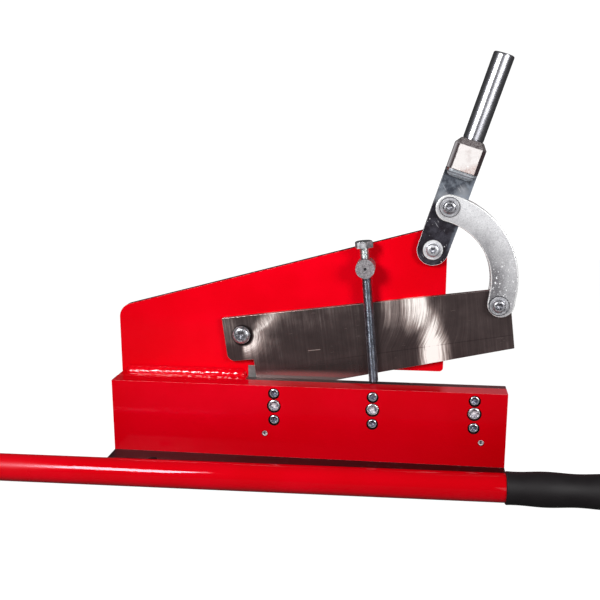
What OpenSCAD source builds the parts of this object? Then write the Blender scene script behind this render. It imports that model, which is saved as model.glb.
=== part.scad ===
// Bench lever shear: a lever and two curved links pull a pivoted upper blade
// past a lower blade that is clamped behind the base bar.
// Origin: centre of the foot plate's underside. X runs along the blades,
// Y runs from the front of the tool to its back, Z is up. Sizes are in millimetres.

/* [Foot plate] */
// How far the foot plate reaches past the base bar at each end
foot_overhang = 0; // [0:0.5:20]
// Depth of the foot plate, front to back
foot_depth = 120; // [110:1:160]
// Thickness of the foot plate
foot_t = 8; // [5:0.5:12]
// How far the foot plate reaches in front of the base bar
toe_depth = 45; // [38:1:60]
// Diameter of the bench bolt holes
foot_hole_d = 10.5; // [8:0.5:14]
// Distance from a bolt hole's centre to the nearer end of the foot plate
foot_hole_end = 47.5; // [20:0.5:60]
// Distance from a bolt hole's centre to the foot plate's long edge
foot_hole_edge = 22; // [14:0.5:26]

/* [Base bar] */
// Length of the base bar
bar_len = 400; // [380:1:420]
// Height of the base bar above the foot plate
bar_h = 75.5; // [72:0.5:90]
// Thickness of the base bar
bar_t = 20; // [16:0.5:25]
// Length of the heel block behind the bar's left end
heel_len = 137.5; // [120:0.5:138]
// Depth of the heel block, from the bar's back face
heel_depth = 36; // [34:0.5:50]
// Leg of the fillet welds on the foot plate
foot_weld_leg = 5; // [3:0.5:6]

/* [Lower blade] */
// Thickness of the lower blade
lower_t = 10; // [8:0.5:14]
// Height of the lower blade
lower_h = 45; // [42:0.5:48]
// Distance from the bar's left end to the lower blade
lower_start = 138; // [138:0.5:142]
// Height of the ledge bar that carries the lower blade
rest_h = 11.5; // [9:0.5:14]
// Distance that the ledge bar stays short of the lower blade at each end
rest_inset = 10; // [5:0.5:12]

/* [Blade screws] */
// Distance from the bar's left end to the first group of screws
group_start = 170; // [165:0.5:180]
// Distance from the last group of screws to the bar's right end
group_end = 31.4; // [25:0.1:40]
// Depth below the bar's top of the upper jack screws
jack_top_drop = 8.2; // [8:0.1:9]
// Depth below the bar's top of the clamp screws
clamp_drop = 21.3; // [21:0.1:22]
// Depth below the bar's top of the lower jack screws
jack_low_drop = 36.1; // [35:0.1:37]
// Thread diameter of the clamp screws
clamp_d = 8; // [6:1:8]
// Head diameter of the clamp screws
clamp_head_d = 12.4; // [11:0.1:12.6]
// Head height of the clamp screws
clamp_head_h = 8; // [6:0.5:9]
// Thread diameter of the jack screws
jack_d = 6; // [5:1:6]
// Head diameter of the jack screws
jack_head_d = 10; // [9:0.1:10.2]
// Head height of the jack screws
jack_head_h = 6; // [5:0.5:7]
// Depth of the screw heads below the bar's face
head_sink = 1; // [0.5:0.1:2]
// Radial gap between a screw head and its counterbore
head_gap = 0.8; // [0.5:0.1:1]
// Diameter of the set screws in the ledge bar
set_d = 6; // [5:1:6]
// Distance from the first set screw back to the first group of screws
set_left_shift = 9.6; // [8:0.1:11]
// Distance from the last group of screws to the last set screw
set_right_shift = 7.7; // [6:0.1:9]

/* [Frame plate] */
// Thickness of the frame plate
plate_t = 10; // [8:0.5:14]
// How far the frame plate reaches past the lever pivot
plate_past_pivot = 14.2; // [12:0.1:15]
// Height of the plate's top edge above the lever pivot
plate_over_pivot = 20.8; // [18:0.1:24]
// Slope of the plate's top edge, in degrees
plate_slope = 14.85; // [14:0.05:15.5]
// Radius of the plate's upper left corner
plate_corner_r = 15; // [6:0.5:20]
// Radius of the plate's upper right corner
plate_tip_r = 15; // [12:0.5:16]
// Clear height of the throat under the plate
throat_h = 10.9; // [8:0.1:12]
// Radius of the throat's outer corner
throat_corner_r = 4; // [2:0.5:6]
// Leg of the fillet welds between the frame plate and the bar
plate_weld_leg = 8.5; // [6:0.5:10]
// Distance that the plate welds stay clear of the plate's ends
plate_weld_inset = 5; // [3:0.5:8]
// Length of the bare steel guide behind the blade's heel
guide_len = 28; // [20:0.5:40]
// How far that guide reaches below the bar's top
guide_drop = 12; // [0:0.5:30]

/* [Upper blade] */
// Thickness of the upper blade and of the lever plate, which share the links
blade_t = 6; // [5:0.5:8]
// Side clearance of the blade and the lever plate
side_gap = 0.1; // [0.05:0.05:0.2]
// Distance from the bar's left end to the blade pivot
blade_pivot_x = 132.2; // [130:0.1:134]
// Height of the blade pivot above the foot plate
blade_pivot_z = 120.4; // [119:0.1:122]
// Rise of the blade's top edge with the blade open, in degrees
blade_rise = 7.4; // [7:0.1:7.8]
// Length of the blade past its link bolt
blade_past_bolt = 11.9; // [11:0.1:16]
// Length of the tab to the left of the pivot
tab_reach = 18.4; // [16:0.1:22]
// Height of the blade's top edge above the pivot
blade_top = 19.3; // [17:0.1:22]
// Depth of the tab below the pivot
tab_drop = 27.2; // [24:0.1:29]
// Distance from the pivot to the step of the blade's heel
heel_step = 8.8; // [8:0.1:9.5]
// Depth of the cutting edge below the pivot, at the heel
edge_drop = 64.8; // [62:0.1:66]
// Taper of the cutting edge against the top edge, in degrees
edge_taper = 5.1; // [4.8:0.1:5.4]
// Radius of the tab's lower corner
tab_corner_r = 8; // [4:0.5:10]

/* [Lever] */
// Distance from the bar's left end to the lever pivot
lever_pivot_x = 324; // [322:0.1:326]
// Height of the lever pivot above the foot plate
lever_pivot_z = 211.2; // [209:0.1:213]
// Lean of the lever to the right of upright, with the blade open, in degrees
lever_lean = 18; // [17:0.1:20]
// Width of the lever plate
lever_w = 31; // [28:0.5:31]
// Distance from the lever pivot to the upper link bolt
crank_len = 44.7; // [44:0.1:46]
// Offset of the upper link bolt to the right of the lever's middle line
crank_offset = 0.6; // [0:0.1:1]
// Distance from the lever pivot to the bottom of the square block
block_start = 80; // [78:0.5:84]
// Width of the square block
block_w = 30; // [26:0.5:32]
// Height of the square block up to its shoulder
block_h = 24; // [20:0.5:30]
// Chamfer along the block's upright edges
block_chamfer = 4; // [2:0.5:5]
// Height of the sloping shoulder between block and rod
shoulder_h = 6; // [3:0.5:8]
// Diameter of the stub rod that takes the handle
rod_d = 20; // [16:0.5:20.5]
// Length of the stub rod above the shoulder
rod_len = 82; // [70:1:100]
// Chamfer at the end of the stub rod
rod_chamfer = 1; // [0.5:0.5:2]
// Leg of the weld between lever plate and block
lever_weld_leg = 8; // [5:0.5:9]

/* [Links] */
// Width of the curved links
link_w = 26; // [24:0.5:26.5]
// Thickness of the curved links
link_t = 6; // [4:0.5:8]
// Radius of the links' middle line
link_r = 73.7; // [70:0.1:80]
// Bulge of the middle line beyond the straight line between the bolts
link_bulge = 23; // [21:0.1:25]
// Shift of the arc along that straight line, towards the lower bolt
link_shift = 1.3; // [0:0.1:2]
// Distance that the links' lower end lies outside the lower bolt
link_low_offset = 2.2; // [0:0.1:2.5]
// Distance between the links' bolts
link_span = 107.9; // [107:0.1:109]
// Steepness of the line between the links' bolts, in degrees
link_drop = 62; // [61.5:0.1:62.5]
// Side clearance between a link and the plates that it holds
link_gap = 0.2; // [0.1:0.05:0.3]

/* [Pivots] */
// Diameter of the blade pivot bolt
blade_bolt_d = 10; // [8:1:10]
// Head diameter of the blade pivot bolt
blade_bolt_head_d = 18.5; // [17:0.5:20]
// Head height of the blade pivot bolt
blade_bolt_head_h = 5.5; // [4:0.5:6]
// Outer diameter of the blade pivot bush
blade_bush_d = 14; // [13:0.5:16]
// Diameter of the lever and link bolts
link_bolt_d = 8; // [6:1:8]
// Head diameter of the lever bolt and the upper link bolt
top_head_d = 13.6; // [12:0.1:14]
// Head diameter of the lower link bolt
low_head_d = 13.2; // [10:0.1:14]
// Head height of the lever and link bolts
link_head_h = 4.6; // [4:0.1:6]
// Outer diameter of the lever and upper link bushes
link_bush_d = 12; // [11:0.5:13]
// Outer diameter of the lower link bush
low_bush_d = 10; // [9.5:0.5:11]
// Washer diameter under the lever bolt and the upper link bolt
top_washer_d = 19.4; // [16:0.1:20]
// Washer diameter under the lower link bolt
low_washer_d = 19.4; // [14:0.1:20]
// Thickness of the link washers
link_washer_t = 1.6; // [1:0.1:2]
// Travel that the lower link bolt needs in the blade's hole
low_hole_play = 3.6; // [3.5:0.1:3.8]

/* [Hold-down] */
// Distance from the bar's left end to the stub's axis
stub_x = 259; // [250:0.1:265]
// Height of the stub's axis above the foot plate
stub_z = 193.4; // [190:0.1:196]
// Diameter of the stub
stub_d = 19; // [17:0.5:22]
// Diameter of the stub's neck in the frame plate
neck_d = 12; // [10:0.5:14]
// Length of the stub in front of the bolt's axis
stub_nose = 10; // [8:0.5:12]
// Thread diameter of the hold-down bolt
press_d = 10; // [8:1:10]
// Width across the flats of the bolt's head
press_head_af = 16; // [14:0.5:17]
// Height of the bolt's head
press_head_h = 6.8; // [5:0.1:8]
// Gap between the bolt and the upper blade's front face
press_gap = 0.4; // [0.3:0.1:0.6]
// Lean of the bolt to the left of upright, in degrees
press_lean = 4.9; // [0:0.1:6]
// Height of the bolt's end above the lower blade
press_lift = 0.8; // [0.6:0.1:3]
// Length of the bolt below its head
press_len = 137; // [130:1:150]

/* [Handle] */
// Outer diameter of the handle tube
tube_d = 26.9; // [25:0.1:28]
// Wall of the handle tube
tube_wall = 2.65; // [2:0.05:3]
// Length of the handle tube
tube_len = 697; // [600:1:800]
// Length of the tube that the grip covers
grip_cover = 132; // [110:1:150]
// Thickness of rubber beyond the tube's end
grip_cap = 5; // [3:0.5:8]
// Greatest diameter of the grip
grip_d = 32.4; // [31:0.1:36]
// Depth of the finger hollows in the grip
grip_hollow = 1.1; // [0.5:0.1:1.5]
// Distance from the bar's left end to the tube's open end
tube_start = 171; // [120:1:200]
// Distance that the handle's axis lies in front of the bar, at the bar's left end
tube_front = 77.5; // [74:0.5:90]
// Angle between the lying handle and the bar, in degrees
tube_skew = 0.97; // [0:0.01:1.5]

/* [Hidden] */

// Colours of the finishes
RED = [0.84, 0.0, 0.06];
BLACK = [0.13, 0.09, 0.11];
GROUND = [0.45, 0.41, 0.4];
ZINC = [0.72, 0.73, 0.75];
MOTTLED = [0.36, 0.38, 0.44];
BRONZE = [0.62, 0.48, 0.26];
RUBBER = [0.13, 0.12, 0.13];

// Radial clearance of a turning fit, of a loose bolt hole and of a thread
turn_gap = 0.05;
hole_gap = 0.2;
thread_gap = 0.05;
// Standing gap between neighbouring parts that only rest against each other
seat_gap = 0.05;

// Lengths that follow from others
foot_len = bar_len + 2 * foot_overhang;
plate_len = lever_pivot_x + plate_past_pivot;
group_pitch = (bar_len - group_start - group_end) / 2;
// Height of the frame plate's sharp upper left corner above the bar
plate_left_h = lever_pivot_z + plate_over_pivot - bar_h - lever_pivot_x * tan(plate_slope);

// Left end of the bar, top of the foot plate and top of the bar
bar_left = -bar_len / 2;
foot_top = foot_t;
bar_top = foot_top + bar_h;

// Front and back planes of each layer, from the front of the tool to its back
bar_front = -foot_depth / 2 + toe_depth;
bar_back = bar_front + bar_t;
shear_plane = bar_back + lower_t;
blade_front = shear_plane + side_gap;
blade_back = blade_front + blade_t;
plate_front = blade_back + side_gap;
plate_back = plate_front + plate_t;
front_link_back = blade_front - link_gap;
rear_link_front = blade_back + link_gap;
lever_middle = (blade_front + blade_back) / 2;

// Pivots, as [x, z]
blade_pivot = [bar_left + blade_pivot_x, foot_top + blade_pivot_z];
lever_pivot = [bar_left + lever_pivot_x, foot_top + lever_pivot_z];
stub_axis = [bar_left + stub_x, foot_top + stub_z];
// Upper link bolt, on the lever, and lower link bolt, where the span meets the blade
link_top = lever_pivot + crank_len * [sin(lever_lean), cos(lever_lean)]
    + crank_offset * [cos(lever_lean), -sin(lever_lean)];
link_low = link_top + link_span * [cos(link_drop), -sin(link_drop)];

// Hold-down bolt's axis plane
press_y = blade_front - press_gap - press_d / 2;
stub_front = press_y - stub_nose;

// Flange and nut sizes that follow from the thread, as on common hardware
function nut_flats(d) = 1.3 * d + 3;
function nut_height(d) = 0.8 * d;
function washer_size(d) = 2 * d;
washer_t = 2;
// Flats of a hexagon socket in a cap screw, in a set screw and in a button head
function cap_socket(d) = 0.75 * d;
function set_socket(d) = 0.5 * d;
function button_socket(d) = 0.6 * d;
// Length of thread that stands out of a nut
thread_stub = 2;
// Distance that screw ends stay short of the plane where the blades pass
screw_short = 0.5;
// Overrun of each cut past the faces that it goes through
cut = 1;

// Corner rounding: replaces each corner of an outline by an arc of its own radius
function unit(v) = v / norm(v);
function corner_arc(before, at, after, r, steps) =
    let (a = unit(before - at),
         b = unit(after - at),
         half = acos(a * b) / 2,
         start = at + a * r / tan(half),
         end = at + b * r / tan(half),
         centre = at + unit(a + b) * r / sin(half),
         from = atan2(start.y - centre.y, start.x - centre.x),
         to = atan2(end.y - centre.y, end.x - centre.x),
         sweep = (to - from + 540) % 360 - 180)
    [for (i = [0:steps]) centre + r * [cos(from + sweep * i / steps), sin(from + sweep * i / steps)]];
function rounded(points, radii, steps = 10) =
    let (n = len(points))
    [for (i = [0:n - 1])
        each radii[i] > 0
            ? corner_arc(points[(i + n - 1) % n], points[i], points[(i + 1) % n], radii[i], steps)
            : [points[i]]];

// Plate that stands upright: an outline in [x, z], from one y plane back to another
module upright(from_y, to_y)
    translate([0, to_y, 0])
        rotate([90, 0, 0])
            linear_extrude(to_y - from_y)
                children();

// Round bar along Y at [x, z], between two y planes
module y_rod(at, d, from_y, to_y)
    translate([at.x, from_y, at.y])
        rotate([-90, 0, 0])
            cylinder(d = d, h = to_y - from_y, $fn = 64);

// Hexagon along Y at [x, z], between two y planes
module y_hex(at, flats, from_y, to_y, turn = 0)
    translate([at.x, from_y, at.y])
        rotate([-90, turn, 0])
            cylinder(d = flats / cos(30), h = to_y - from_y, $fn = 6);

// Ring along Y at [x, z]
module y_ring(at, outer_d, inner_d, from_y, to_y)
    difference() {
        y_rod(at, outer_d, from_y, to_y);
        y_rod(at, inner_d, from_y - cut, to_y + cut);
    }

// Domed button head that stands in front of the plane seat_y, with a hexagon socket
module button_head(at, d, h, seat_y, socket)
    translate([at.x, seat_y, at.y])
        rotate([90, 0, 0])
            difference() {
                rotate_extrude($fn = 64)
                    polygon(concat([[0, 0], [d / 2, 0], [d / 2, h * 0.3]],
                                   [for (a = [15:15:75]) [d / 2 * (0.55 + 0.45 * cos(a)),
                                                          h * (0.3 + 0.7 * sin(a))]],
                                   [[d / 2 * 0.55, h], [0, h]]));
                translate([0, 0, h * 0.4])
                    cylinder(d = socket / cos(30), h = h, $fn = 6);
            }

// Bolt along Y: button head in front of seat_y, shank back to end_y
module pivot_bolt(at, d, head_d, head_h, seat_y, end_y, socket) {
    button_head(at, head_d, head_h, seat_y, socket);
    y_rod(at, d, seat_y, end_y);
}

// Hexagon nut along Y whose front face lies at from_y
module y_nut(at, d, from_y)
    difference() {
        y_hex(at, nut_flats(d), from_y, from_y + nut_height(d));
        y_rod(at, d + 2 * thread_gap, from_y - cut, from_y + nut_height(d) + cut);
    }

// Places of the screws in the bar's face
group_x = [for (i = [0:2]) bar_left + group_start + i * group_pitch];
set_x = [group_x[0] - set_left_shift, group_x[2] + set_right_shift];
jack_z = [bar_top - jack_top_drop, bar_top - jack_low_drop];
clamp_z = bar_top - clamp_drop;
lower_bottom = bar_top - lower_h;
set_z = lower_bottom - rest_h / 2;

module foot_plate()
    color(BLACK)
        difference() {
            translate([-foot_len / 2, -foot_depth / 2, 0])
                cube([foot_len, foot_depth, foot_t]);
            for (x = [-1, 1], y = [-1, 1])
                translate([x * (foot_len / 2 - foot_hole_end),
                           y * (foot_depth / 2 - foot_hole_edge), -cut])
                    cylinder(d = foot_hole_d, h = foot_t + 2 * cut, $fn = 48);
        }

module base_bar()
    color(RED)
        difference() {
            translate([bar_left, bar_front, foot_top])
                cube([bar_len, bar_t, bar_h]);
            for (x = group_x) {
                y_rod([x, clamp_z], clamp_d + 2 * hole_gap, bar_front - cut, bar_back + cut);
                y_rod([x, clamp_z], clamp_head_d + 2 * head_gap,
                      bar_front - cut, bar_front + head_sink + clamp_head_h);
                for (z = jack_z) {
                    y_rod([x, z], jack_d + 2 * thread_gap, bar_front - cut, bar_back + cut);
                    y_rod([x, z], jack_head_d + 2 * head_gap,
                          bar_front - cut, bar_front + head_sink + jack_head_h);
                }
            }
            for (x = set_x)
                y_rod([x, set_z], set_d + 2 * thread_gap, bar_front - cut, bar_back + cut);
        }

module heel_block()
    color(RED)
        translate([bar_left, bar_back, foot_top])
            cube([heel_len, heel_depth, bar_h]);

// Outline of the frame plate, as [x, z], counter-clockwise from its lower left corner
plate_right = bar_left + plate_len;
throat_top = bar_top + throat_h;
plate_outline = rounded(
    [[bar_left, bar_top],
     [bar_left + heel_len, bar_top],
     [bar_left + heel_len, throat_top],
     [plate_right, throat_top],
     [plate_right, bar_top + plate_left_h + plate_len * tan(plate_slope)],
     [bar_left, bar_top + plate_left_h]],
    [0, 0, 0, throat_corner_r, plate_tip_r, plate_corner_r]);

module frame_plate()
    color(RED)
        difference() {
            upright(plate_front, plate_back)
                polygon(plate_outline);
            y_rod(blade_pivot, blade_bolt_d + 2 * hole_gap, plate_front - cut, plate_back + cut);
            y_rod(lever_pivot, link_bolt_d + 2 * hole_gap, plate_front - cut, plate_back + cut);
            y_rod(stub_axis, neck_d + 2 * turn_gap, plate_front - cut, plate_back + cut);
        }

// Section of a fillet weld: a corner of leg by leg with a slightly crowned face.
// The middle of the face lies weld_fill times the leg away from the corner.
weld_fill = 0.75;
function weld_section(leg) =
    concat([[0, 0]],
           [for (a = [0:15:90])
               leg * (weld_fill + (1 - weld_fill) * abs(a - 45) / 45) * [cos(a), sin(a)]]);

// Fillet weld along X whose corner sits at [y, z]. Its face looks along way, -1 or 1 in Y.
module fillet_along_x(from_x, length, y, z, leg, way)
    translate([from_x, y, z])
        rotate([90, 0, 90])
            linear_extrude(length)
                scale([way, 1])
                    polygon(weld_section(leg));

// Distance that the front bead stays short of the heel block's end
front_weld_gap = 1.5;

module plate_welds()
    color(RED) {
        fillet_along_x(bar_left + plate_weld_inset,
                       heel_len - plate_weld_inset - front_weld_gap,
                       plate_front, bar_top, plate_weld_leg, -1);
        fillet_along_x(bar_left + plate_weld_inset, heel_len - 2 * plate_weld_inset,
                       plate_back, bar_top, min(plate_weld_leg, heel_depth - plate_back + bar_back),
                       1);
    }

module foot_welds()
    color(RED) {
        fillet_along_x(bar_left + plate_weld_inset, heel_len - 2 * plate_weld_inset,
                       bar_back + heel_depth, foot_top, foot_weld_leg, 1);
        fillet_along_x(bar_left + heel_len + plate_weld_inset,
                       bar_len - heel_len - 2 * plate_weld_inset,
                       bar_back, foot_top, foot_weld_leg, 1);
    }

module lower_blade()
    color(GROUND)
        difference() {
            translate([bar_left + lower_start, bar_back, lower_bottom])
                cube([bar_len - lower_start, lower_t, lower_h]);
            for (x = group_x)
                y_rod([x, clamp_z], clamp_d + 2 * thread_gap, bar_back - cut, shear_plane + cut);
        }

module blade_rest()
    color(ZINC)
        difference() {
            translate([bar_left + lower_start + rest_inset, bar_back, lower_bottom - rest_h])
                cube([bar_len - lower_start - 2 * rest_inset, lower_t, rest_h]);
            for (x = set_x)
                y_rod([x, set_z], set_d + 2 * thread_gap, bar_back - cut, shear_plane + cut);
        }

// Socket head cap screw along Y, with its head's face at face_y and its end at end_y
module cap_screw(at, d, head_d, head_h, face_y, end_y)
    difference() {
        union() {
            y_rod(at, head_d, face_y, face_y + head_h);
            y_rod(at, d, face_y, end_y);
        }
        y_hex(at, cap_socket(d), face_y - cut, face_y + head_h / 2);
    }

module blade_clamp_screws()
    color(ZINC)
        for (x = group_x)
            cap_screw([x, clamp_z], clamp_d, clamp_head_d, clamp_head_h,
                      bar_front + head_sink, shear_plane - screw_short);

module blade_jack_screws()
    color(ZINC)
        for (x = group_x, z = jack_z)
            cap_screw([x, z], jack_d, jack_head_d, jack_head_h,
                      bar_front + head_sink, bar_back - seat_gap);

module rest_set_screws()
    color(ZINC)
        for (x = set_x)
            difference() {
                y_rod([x, set_z], set_d, bar_front + head_sink, shear_plane - screw_short);
                y_hex([x, set_z], set_socket(set_d), bar_front, bar_front + head_sink + set_socket(set_d));
            }

module heel_guide()
    color(GROUND)
        translate([bar_left + heel_len + seat_gap, plate_front, bar_top - guide_drop])
            cube([guide_len, plate_t, guide_drop + throat_h - seat_gap]);

module blade_pivot_bolt()
    color(ZINC)
        pivot_bolt(blade_pivot, blade_bolt_d, blade_bolt_head_d, blade_bolt_head_h,
                   blade_front - side_gap,
                   plate_back + washer_t + nut_height(blade_bolt_d) + thread_stub,
                   button_socket(blade_bolt_d));

module blade_pivot_bush()
    color(BRONZE)
        y_ring(blade_pivot, blade_bush_d, blade_bolt_d + 2 * turn_gap,
               blade_front - side_gap, plate_front);

module blade_pivot_washer()
    color(ZINC)
        y_ring(blade_pivot, washer_size(blade_bolt_d), blade_bolt_d + 2 * hole_gap,
               plate_back, plate_back + washer_t);

module blade_pivot_nut()
    color(ZINC)
        y_nut(blade_pivot, blade_bolt_d, plate_back + washer_t);

module lever_pivot_bolt()
    color(ZINC)
        pivot_bolt(lever_pivot, link_bolt_d, top_head_d, link_head_h,
                   blade_front - side_gap - link_washer_t,
                   plate_back + link_washer_t + nut_height(link_bolt_d) + thread_stub,
                   button_socket(link_bolt_d));

module lever_pivot_bush()
    color(BRONZE)
        y_ring(lever_pivot, link_bush_d, link_bolt_d + 2 * turn_gap,
               blade_front - side_gap, plate_front);

module lever_pivot_washers()
    color(ZINC) {
        y_ring(lever_pivot, top_washer_d, link_bolt_d + 2 * hole_gap,
               blade_front - side_gap - link_washer_t, blade_front - side_gap);
        y_ring(lever_pivot, washer_size(link_bolt_d), link_bolt_d + 2 * hole_gap,
               plate_back, plate_back + link_washer_t);
    }

module lever_pivot_nut()
    color(ZINC)
        y_nut(lever_pivot, link_bolt_d, plate_back + link_washer_t);

// Turns an outline that is drawn from the pivot outwards into its place in the view
module about(pivot, angle)
    translate(pivot)
        rotate(angle)
            children();

// Length of the blade to the right of its pivot, along its top edge
blade_reach = (link_low - blade_pivot) * [cos(blade_rise), sin(blade_rise)] + blade_past_bolt;

// Blade outline around its pivot, with its top edge level: cutting edge low, tab at the left
blade_outline = rounded(
    [[-tab_reach, -tab_drop],
     [heel_step, -tab_drop],
     [heel_step, -edge_drop],
     [blade_reach, -edge_drop + (blade_reach - heel_step) * tan(edge_taper)],
     [blade_reach, blade_top],
     [-tab_reach, blade_top]],
    [tab_corner_r, 0, 0, 0, 1.5, 1]);

// The lower link bolt crosses the blade through a wide hole, because the bolt's path
// is not quite an arc about the blade pivot
low_hole_d = low_bush_d + 2 * low_hole_play;

module upper_blade()
    color(GROUND)
        difference() {
            upright(blade_front, blade_back)
                about(blade_pivot, blade_rise)
                    polygon(blade_outline);
            y_rod(blade_pivot, blade_bush_d + 2 * turn_gap, blade_front - cut, blade_back + cut);
            y_rod(link_low, low_hole_d, blade_front - cut, blade_back + cut);
        }

// Places its children with +Z along the lever, the origin on the lever pivot
module along_lever()
    translate([lever_pivot.x, lever_middle, lever_pivot.y])
        rotate([0, lever_lean, 0])
            children();

module lever_plate()
    color(MOTTLED)
        difference() {
            upright(blade_front, blade_back)
                about(lever_pivot, -lever_lean)
                    union() {
                        circle(d = lever_w, $fn = 96);
                        translate([-lever_w / 2, 0])
                            square([lever_w, block_start]);
                    }
            y_rod(lever_pivot, link_bush_d + 2 * turn_gap, blade_front - cut, blade_back + cut);
            y_rod(link_top, link_bush_d + 2 * turn_gap, blade_front - cut, blade_back + cut);
        }

// One weld bead lies in front of the lever plate and one behind it
lever_weld_inset = 1;
module lever_welds()
    color(ZINC)
        along_lever()
            for (way = [-1, 1])
                translate([-block_w / 2 + lever_weld_inset, way * blade_t / 2, block_start])
                    rotate([90, 0, 90])
                        linear_extrude(block_w - 2 * lever_weld_inset)
                            scale([way, -1])
                                polygon(weld_section(lever_weld_leg));

// Ledge around the rod at the shoulder's top
shoulder_ledge = 0.5;

// Square bar with chamfered upright edges, and a sloping shoulder up to the rod
module lever_block()
    color(ZINC)
        along_lever() {
            translate([0, 0, block_start])
                linear_extrude(block_h)
                    block_section(block_w, block_chamfer);
            translate([0, 0, block_start + block_h])
                linear_extrude(shoulder_h, scale = (rod_d + 2 * shoulder_ledge) / block_w)
                    block_section(block_w, block_chamfer);
        }

// Square with its corners cut off
module block_section(w, chamfer) {
    side = w / 2;
    flat = w / 2 - chamfer;
    polygon([[side, -flat], [side, flat], [flat, side], [-flat, side],
             [-side, flat], [-side, -flat], [-flat, -side], [flat, -side]]);
}

module stub_rod()
    color(ZINC)
        along_lever()
            translate([0, 0, block_start + block_h + shoulder_h]) {
                cylinder(d = rod_d, h = rod_len - rod_chamfer, $fn = 96);
                translate([0, 0, rod_len - rod_chamfer])
                    cylinder(d1 = rod_d, d2 = rod_d - 2 * rod_chamfer, h = rod_chamfer, $fn = 96);
            }

// Curved strap from one bolt to the other: a ring sector and a straight piece, with round ends
link_along = [cos(link_drop), -sin(link_drop)];
link_out = [sin(link_drop), cos(link_drop)];
arc_centre = (link_top + link_low) / 2 + (link_bulge - link_r) * link_out + link_shift * link_along;
low_end = link_low + link_low_offset * link_out;
straight_angle = 9;
arc_from = atan2(low_end.y - arc_centre.y, low_end.x - arc_centre.x) + straight_angle;
arc_to = atan2(link_top.y - arc_centre.y, link_top.x - arc_centre.x);
function on_arc(r, angle) = arc_centre + r * [cos(angle), sin(angle)];
straight_start = on_arc(link_r, arc_from);
straight_side = link_w / 2 * [unit(low_end - straight_start).y, -unit(low_end - straight_start).x];

module link_outline() {
    intersection() {
        translate(arc_centre)
            difference() {
                circle(r = link_r + link_w / 2, $fn = 180);
                circle(r = link_r - link_w / 2, $fn = 180);
            }
        polygon([arc_centre, on_arc(2 * link_r, arc_from),
                 on_arc(3 * link_r, (arc_from + arc_to) / 2), on_arc(2 * link_r, arc_to)]);
    }
    polygon([on_arc(link_r - link_w / 2, arc_from), low_end + straight_side,
             low_end - straight_side, on_arc(link_r + link_w / 2, arc_from)]);
    for (end = [on_arc(link_r, arc_to), low_end])
        translate(end)
            circle(d = link_w, $fn = 96);
}

module link_plate(from_y)
    difference() {
        upright(from_y, from_y + link_t)
            link_outline();
        for (end = [link_top, link_low])
            y_rod(end, link_bolt_d + 2 * turn_gap, from_y - cut, from_y + link_t + cut);
    }

module front_link()
    color(ZINC)
        link_plate(front_link_back - link_t);

module rear_link()
    color(ZINC)
        link_plate(rear_link_front);

front_washer_face = front_link_back - link_t - link_washer_t;
rear_washer_face = rear_link_front + link_t + link_washer_t;

module link_bolt(at, head_d)
    pivot_bolt(at, link_bolt_d, head_d, link_head_h, front_washer_face,
               rear_washer_face + nut_height(link_bolt_d) + thread_stub, button_socket(link_bolt_d));

module link_top_bolt()
    color(ZINC)
        link_bolt(link_top, top_head_d);

module link_low_bolt()
    color(ZINC)
        link_bolt(link_low, low_head_d);

module link_top_bush()
    color(BRONZE)
        y_ring(link_top, link_bush_d, link_bolt_d + 2 * turn_gap, front_link_back, rear_link_front);

module link_low_bush()
    color(BRONZE)
        y_ring(link_low, low_bush_d, link_bolt_d + 2 * turn_gap, front_link_back, rear_link_front);

module link_washers()
    color(ZINC)
        for (place = [[link_top, top_washer_d], [link_low, low_washer_d]],
             face = [front_washer_face, rear_washer_face - link_washer_t])
            y_ring(place[0], place[1], link_bolt_d + 2 * hole_gap, face, face + link_washer_t);

module link_nuts()
    color(ZINC)
        for (end = [link_top, link_low])
            y_nut(end, link_bolt_d, rear_washer_face);

// Places its children with +Z up the hold-down bolt, the origin on the stub's axis
module along_press()
    translate([stub_axis.x, press_y, stub_axis.y])
        rotate([0, -press_lean, 0])
            children();

// Centre punch mark in the stub's face, a cone of 90 degrees
punch_d = 2;

module hold_down_stub()
    color(ZINC)
        difference() {
            union() {
                y_rod(stub_axis, stub_d, stub_front, plate_front - seat_gap);
                y_rod(stub_axis, neck_d, press_y,
                      plate_back + washer_t + nut_height(neck_d) + thread_stub);
            }
            along_press()
                translate([0, 0, -stub_d])
                    cylinder(d = press_d + 2 * thread_gap, h = 2 * stub_d, $fn = 64);
            translate([stub_axis.x, stub_front - cut, stub_axis.y])
                rotate([-90, 0, 0])
                    cylinder(d1 = punch_d + 2 * cut, d2 = 0, h = punch_d / 2 + cut, $fn = 32);
        }

module hold_down_washer()
    color(ZINC)
        y_ring(stub_axis, washer_size(neck_d), neck_d + 2 * hole_gap,
               plate_back + seat_gap, plate_back + washer_t);

module hold_down_nut()
    color(ZINC)
        y_nut(stub_axis, neck_d, plate_back + washer_t);

// Distance down the bolt's axis from the stub to the bolt's end, above the lower blade
press_end = (stub_axis.y - bar_top - press_lift - press_d / 2 * sin(press_lean)) / cos(press_lean);

// Chamfer at the bolt's end
press_tip = 1;

module hold_down_bolt()
    color(ZINC)
        along_press()
            translate([0, 0, -press_end]) {
                cylinder(d1 = press_d - 2 * press_tip, d2 = press_d, h = press_tip, $fn = 64);
                translate([0, 0, press_tip])
                    cylinder(d = press_d, h = press_len - press_tip, $fn = 64);
                translate([0, 0, press_len])
                    press_head();
            }

// Hexagon head with its upper corners turned off
module press_head()
    intersection() {
        rotate(15)
            cylinder(d = press_head_af / cos(30), h = press_head_h, $fn = 6);
        cylinder(d1 = 2 * press_head_af, d2 = press_head_af * 0.96, h = press_head_h * 1.02, $fn = 64);
    }

// Wave of the grip: its radius at a distance x from its front edge
grip_len = grip_cover + grip_cap;
grip_wave = 55;
grip_first_crest = 36;
function grip_r(x) =
    grip_d / 2 - grip_hollow / 2 * (1 - cos(360 * (x - grip_first_crest) / grip_wave));

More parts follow.
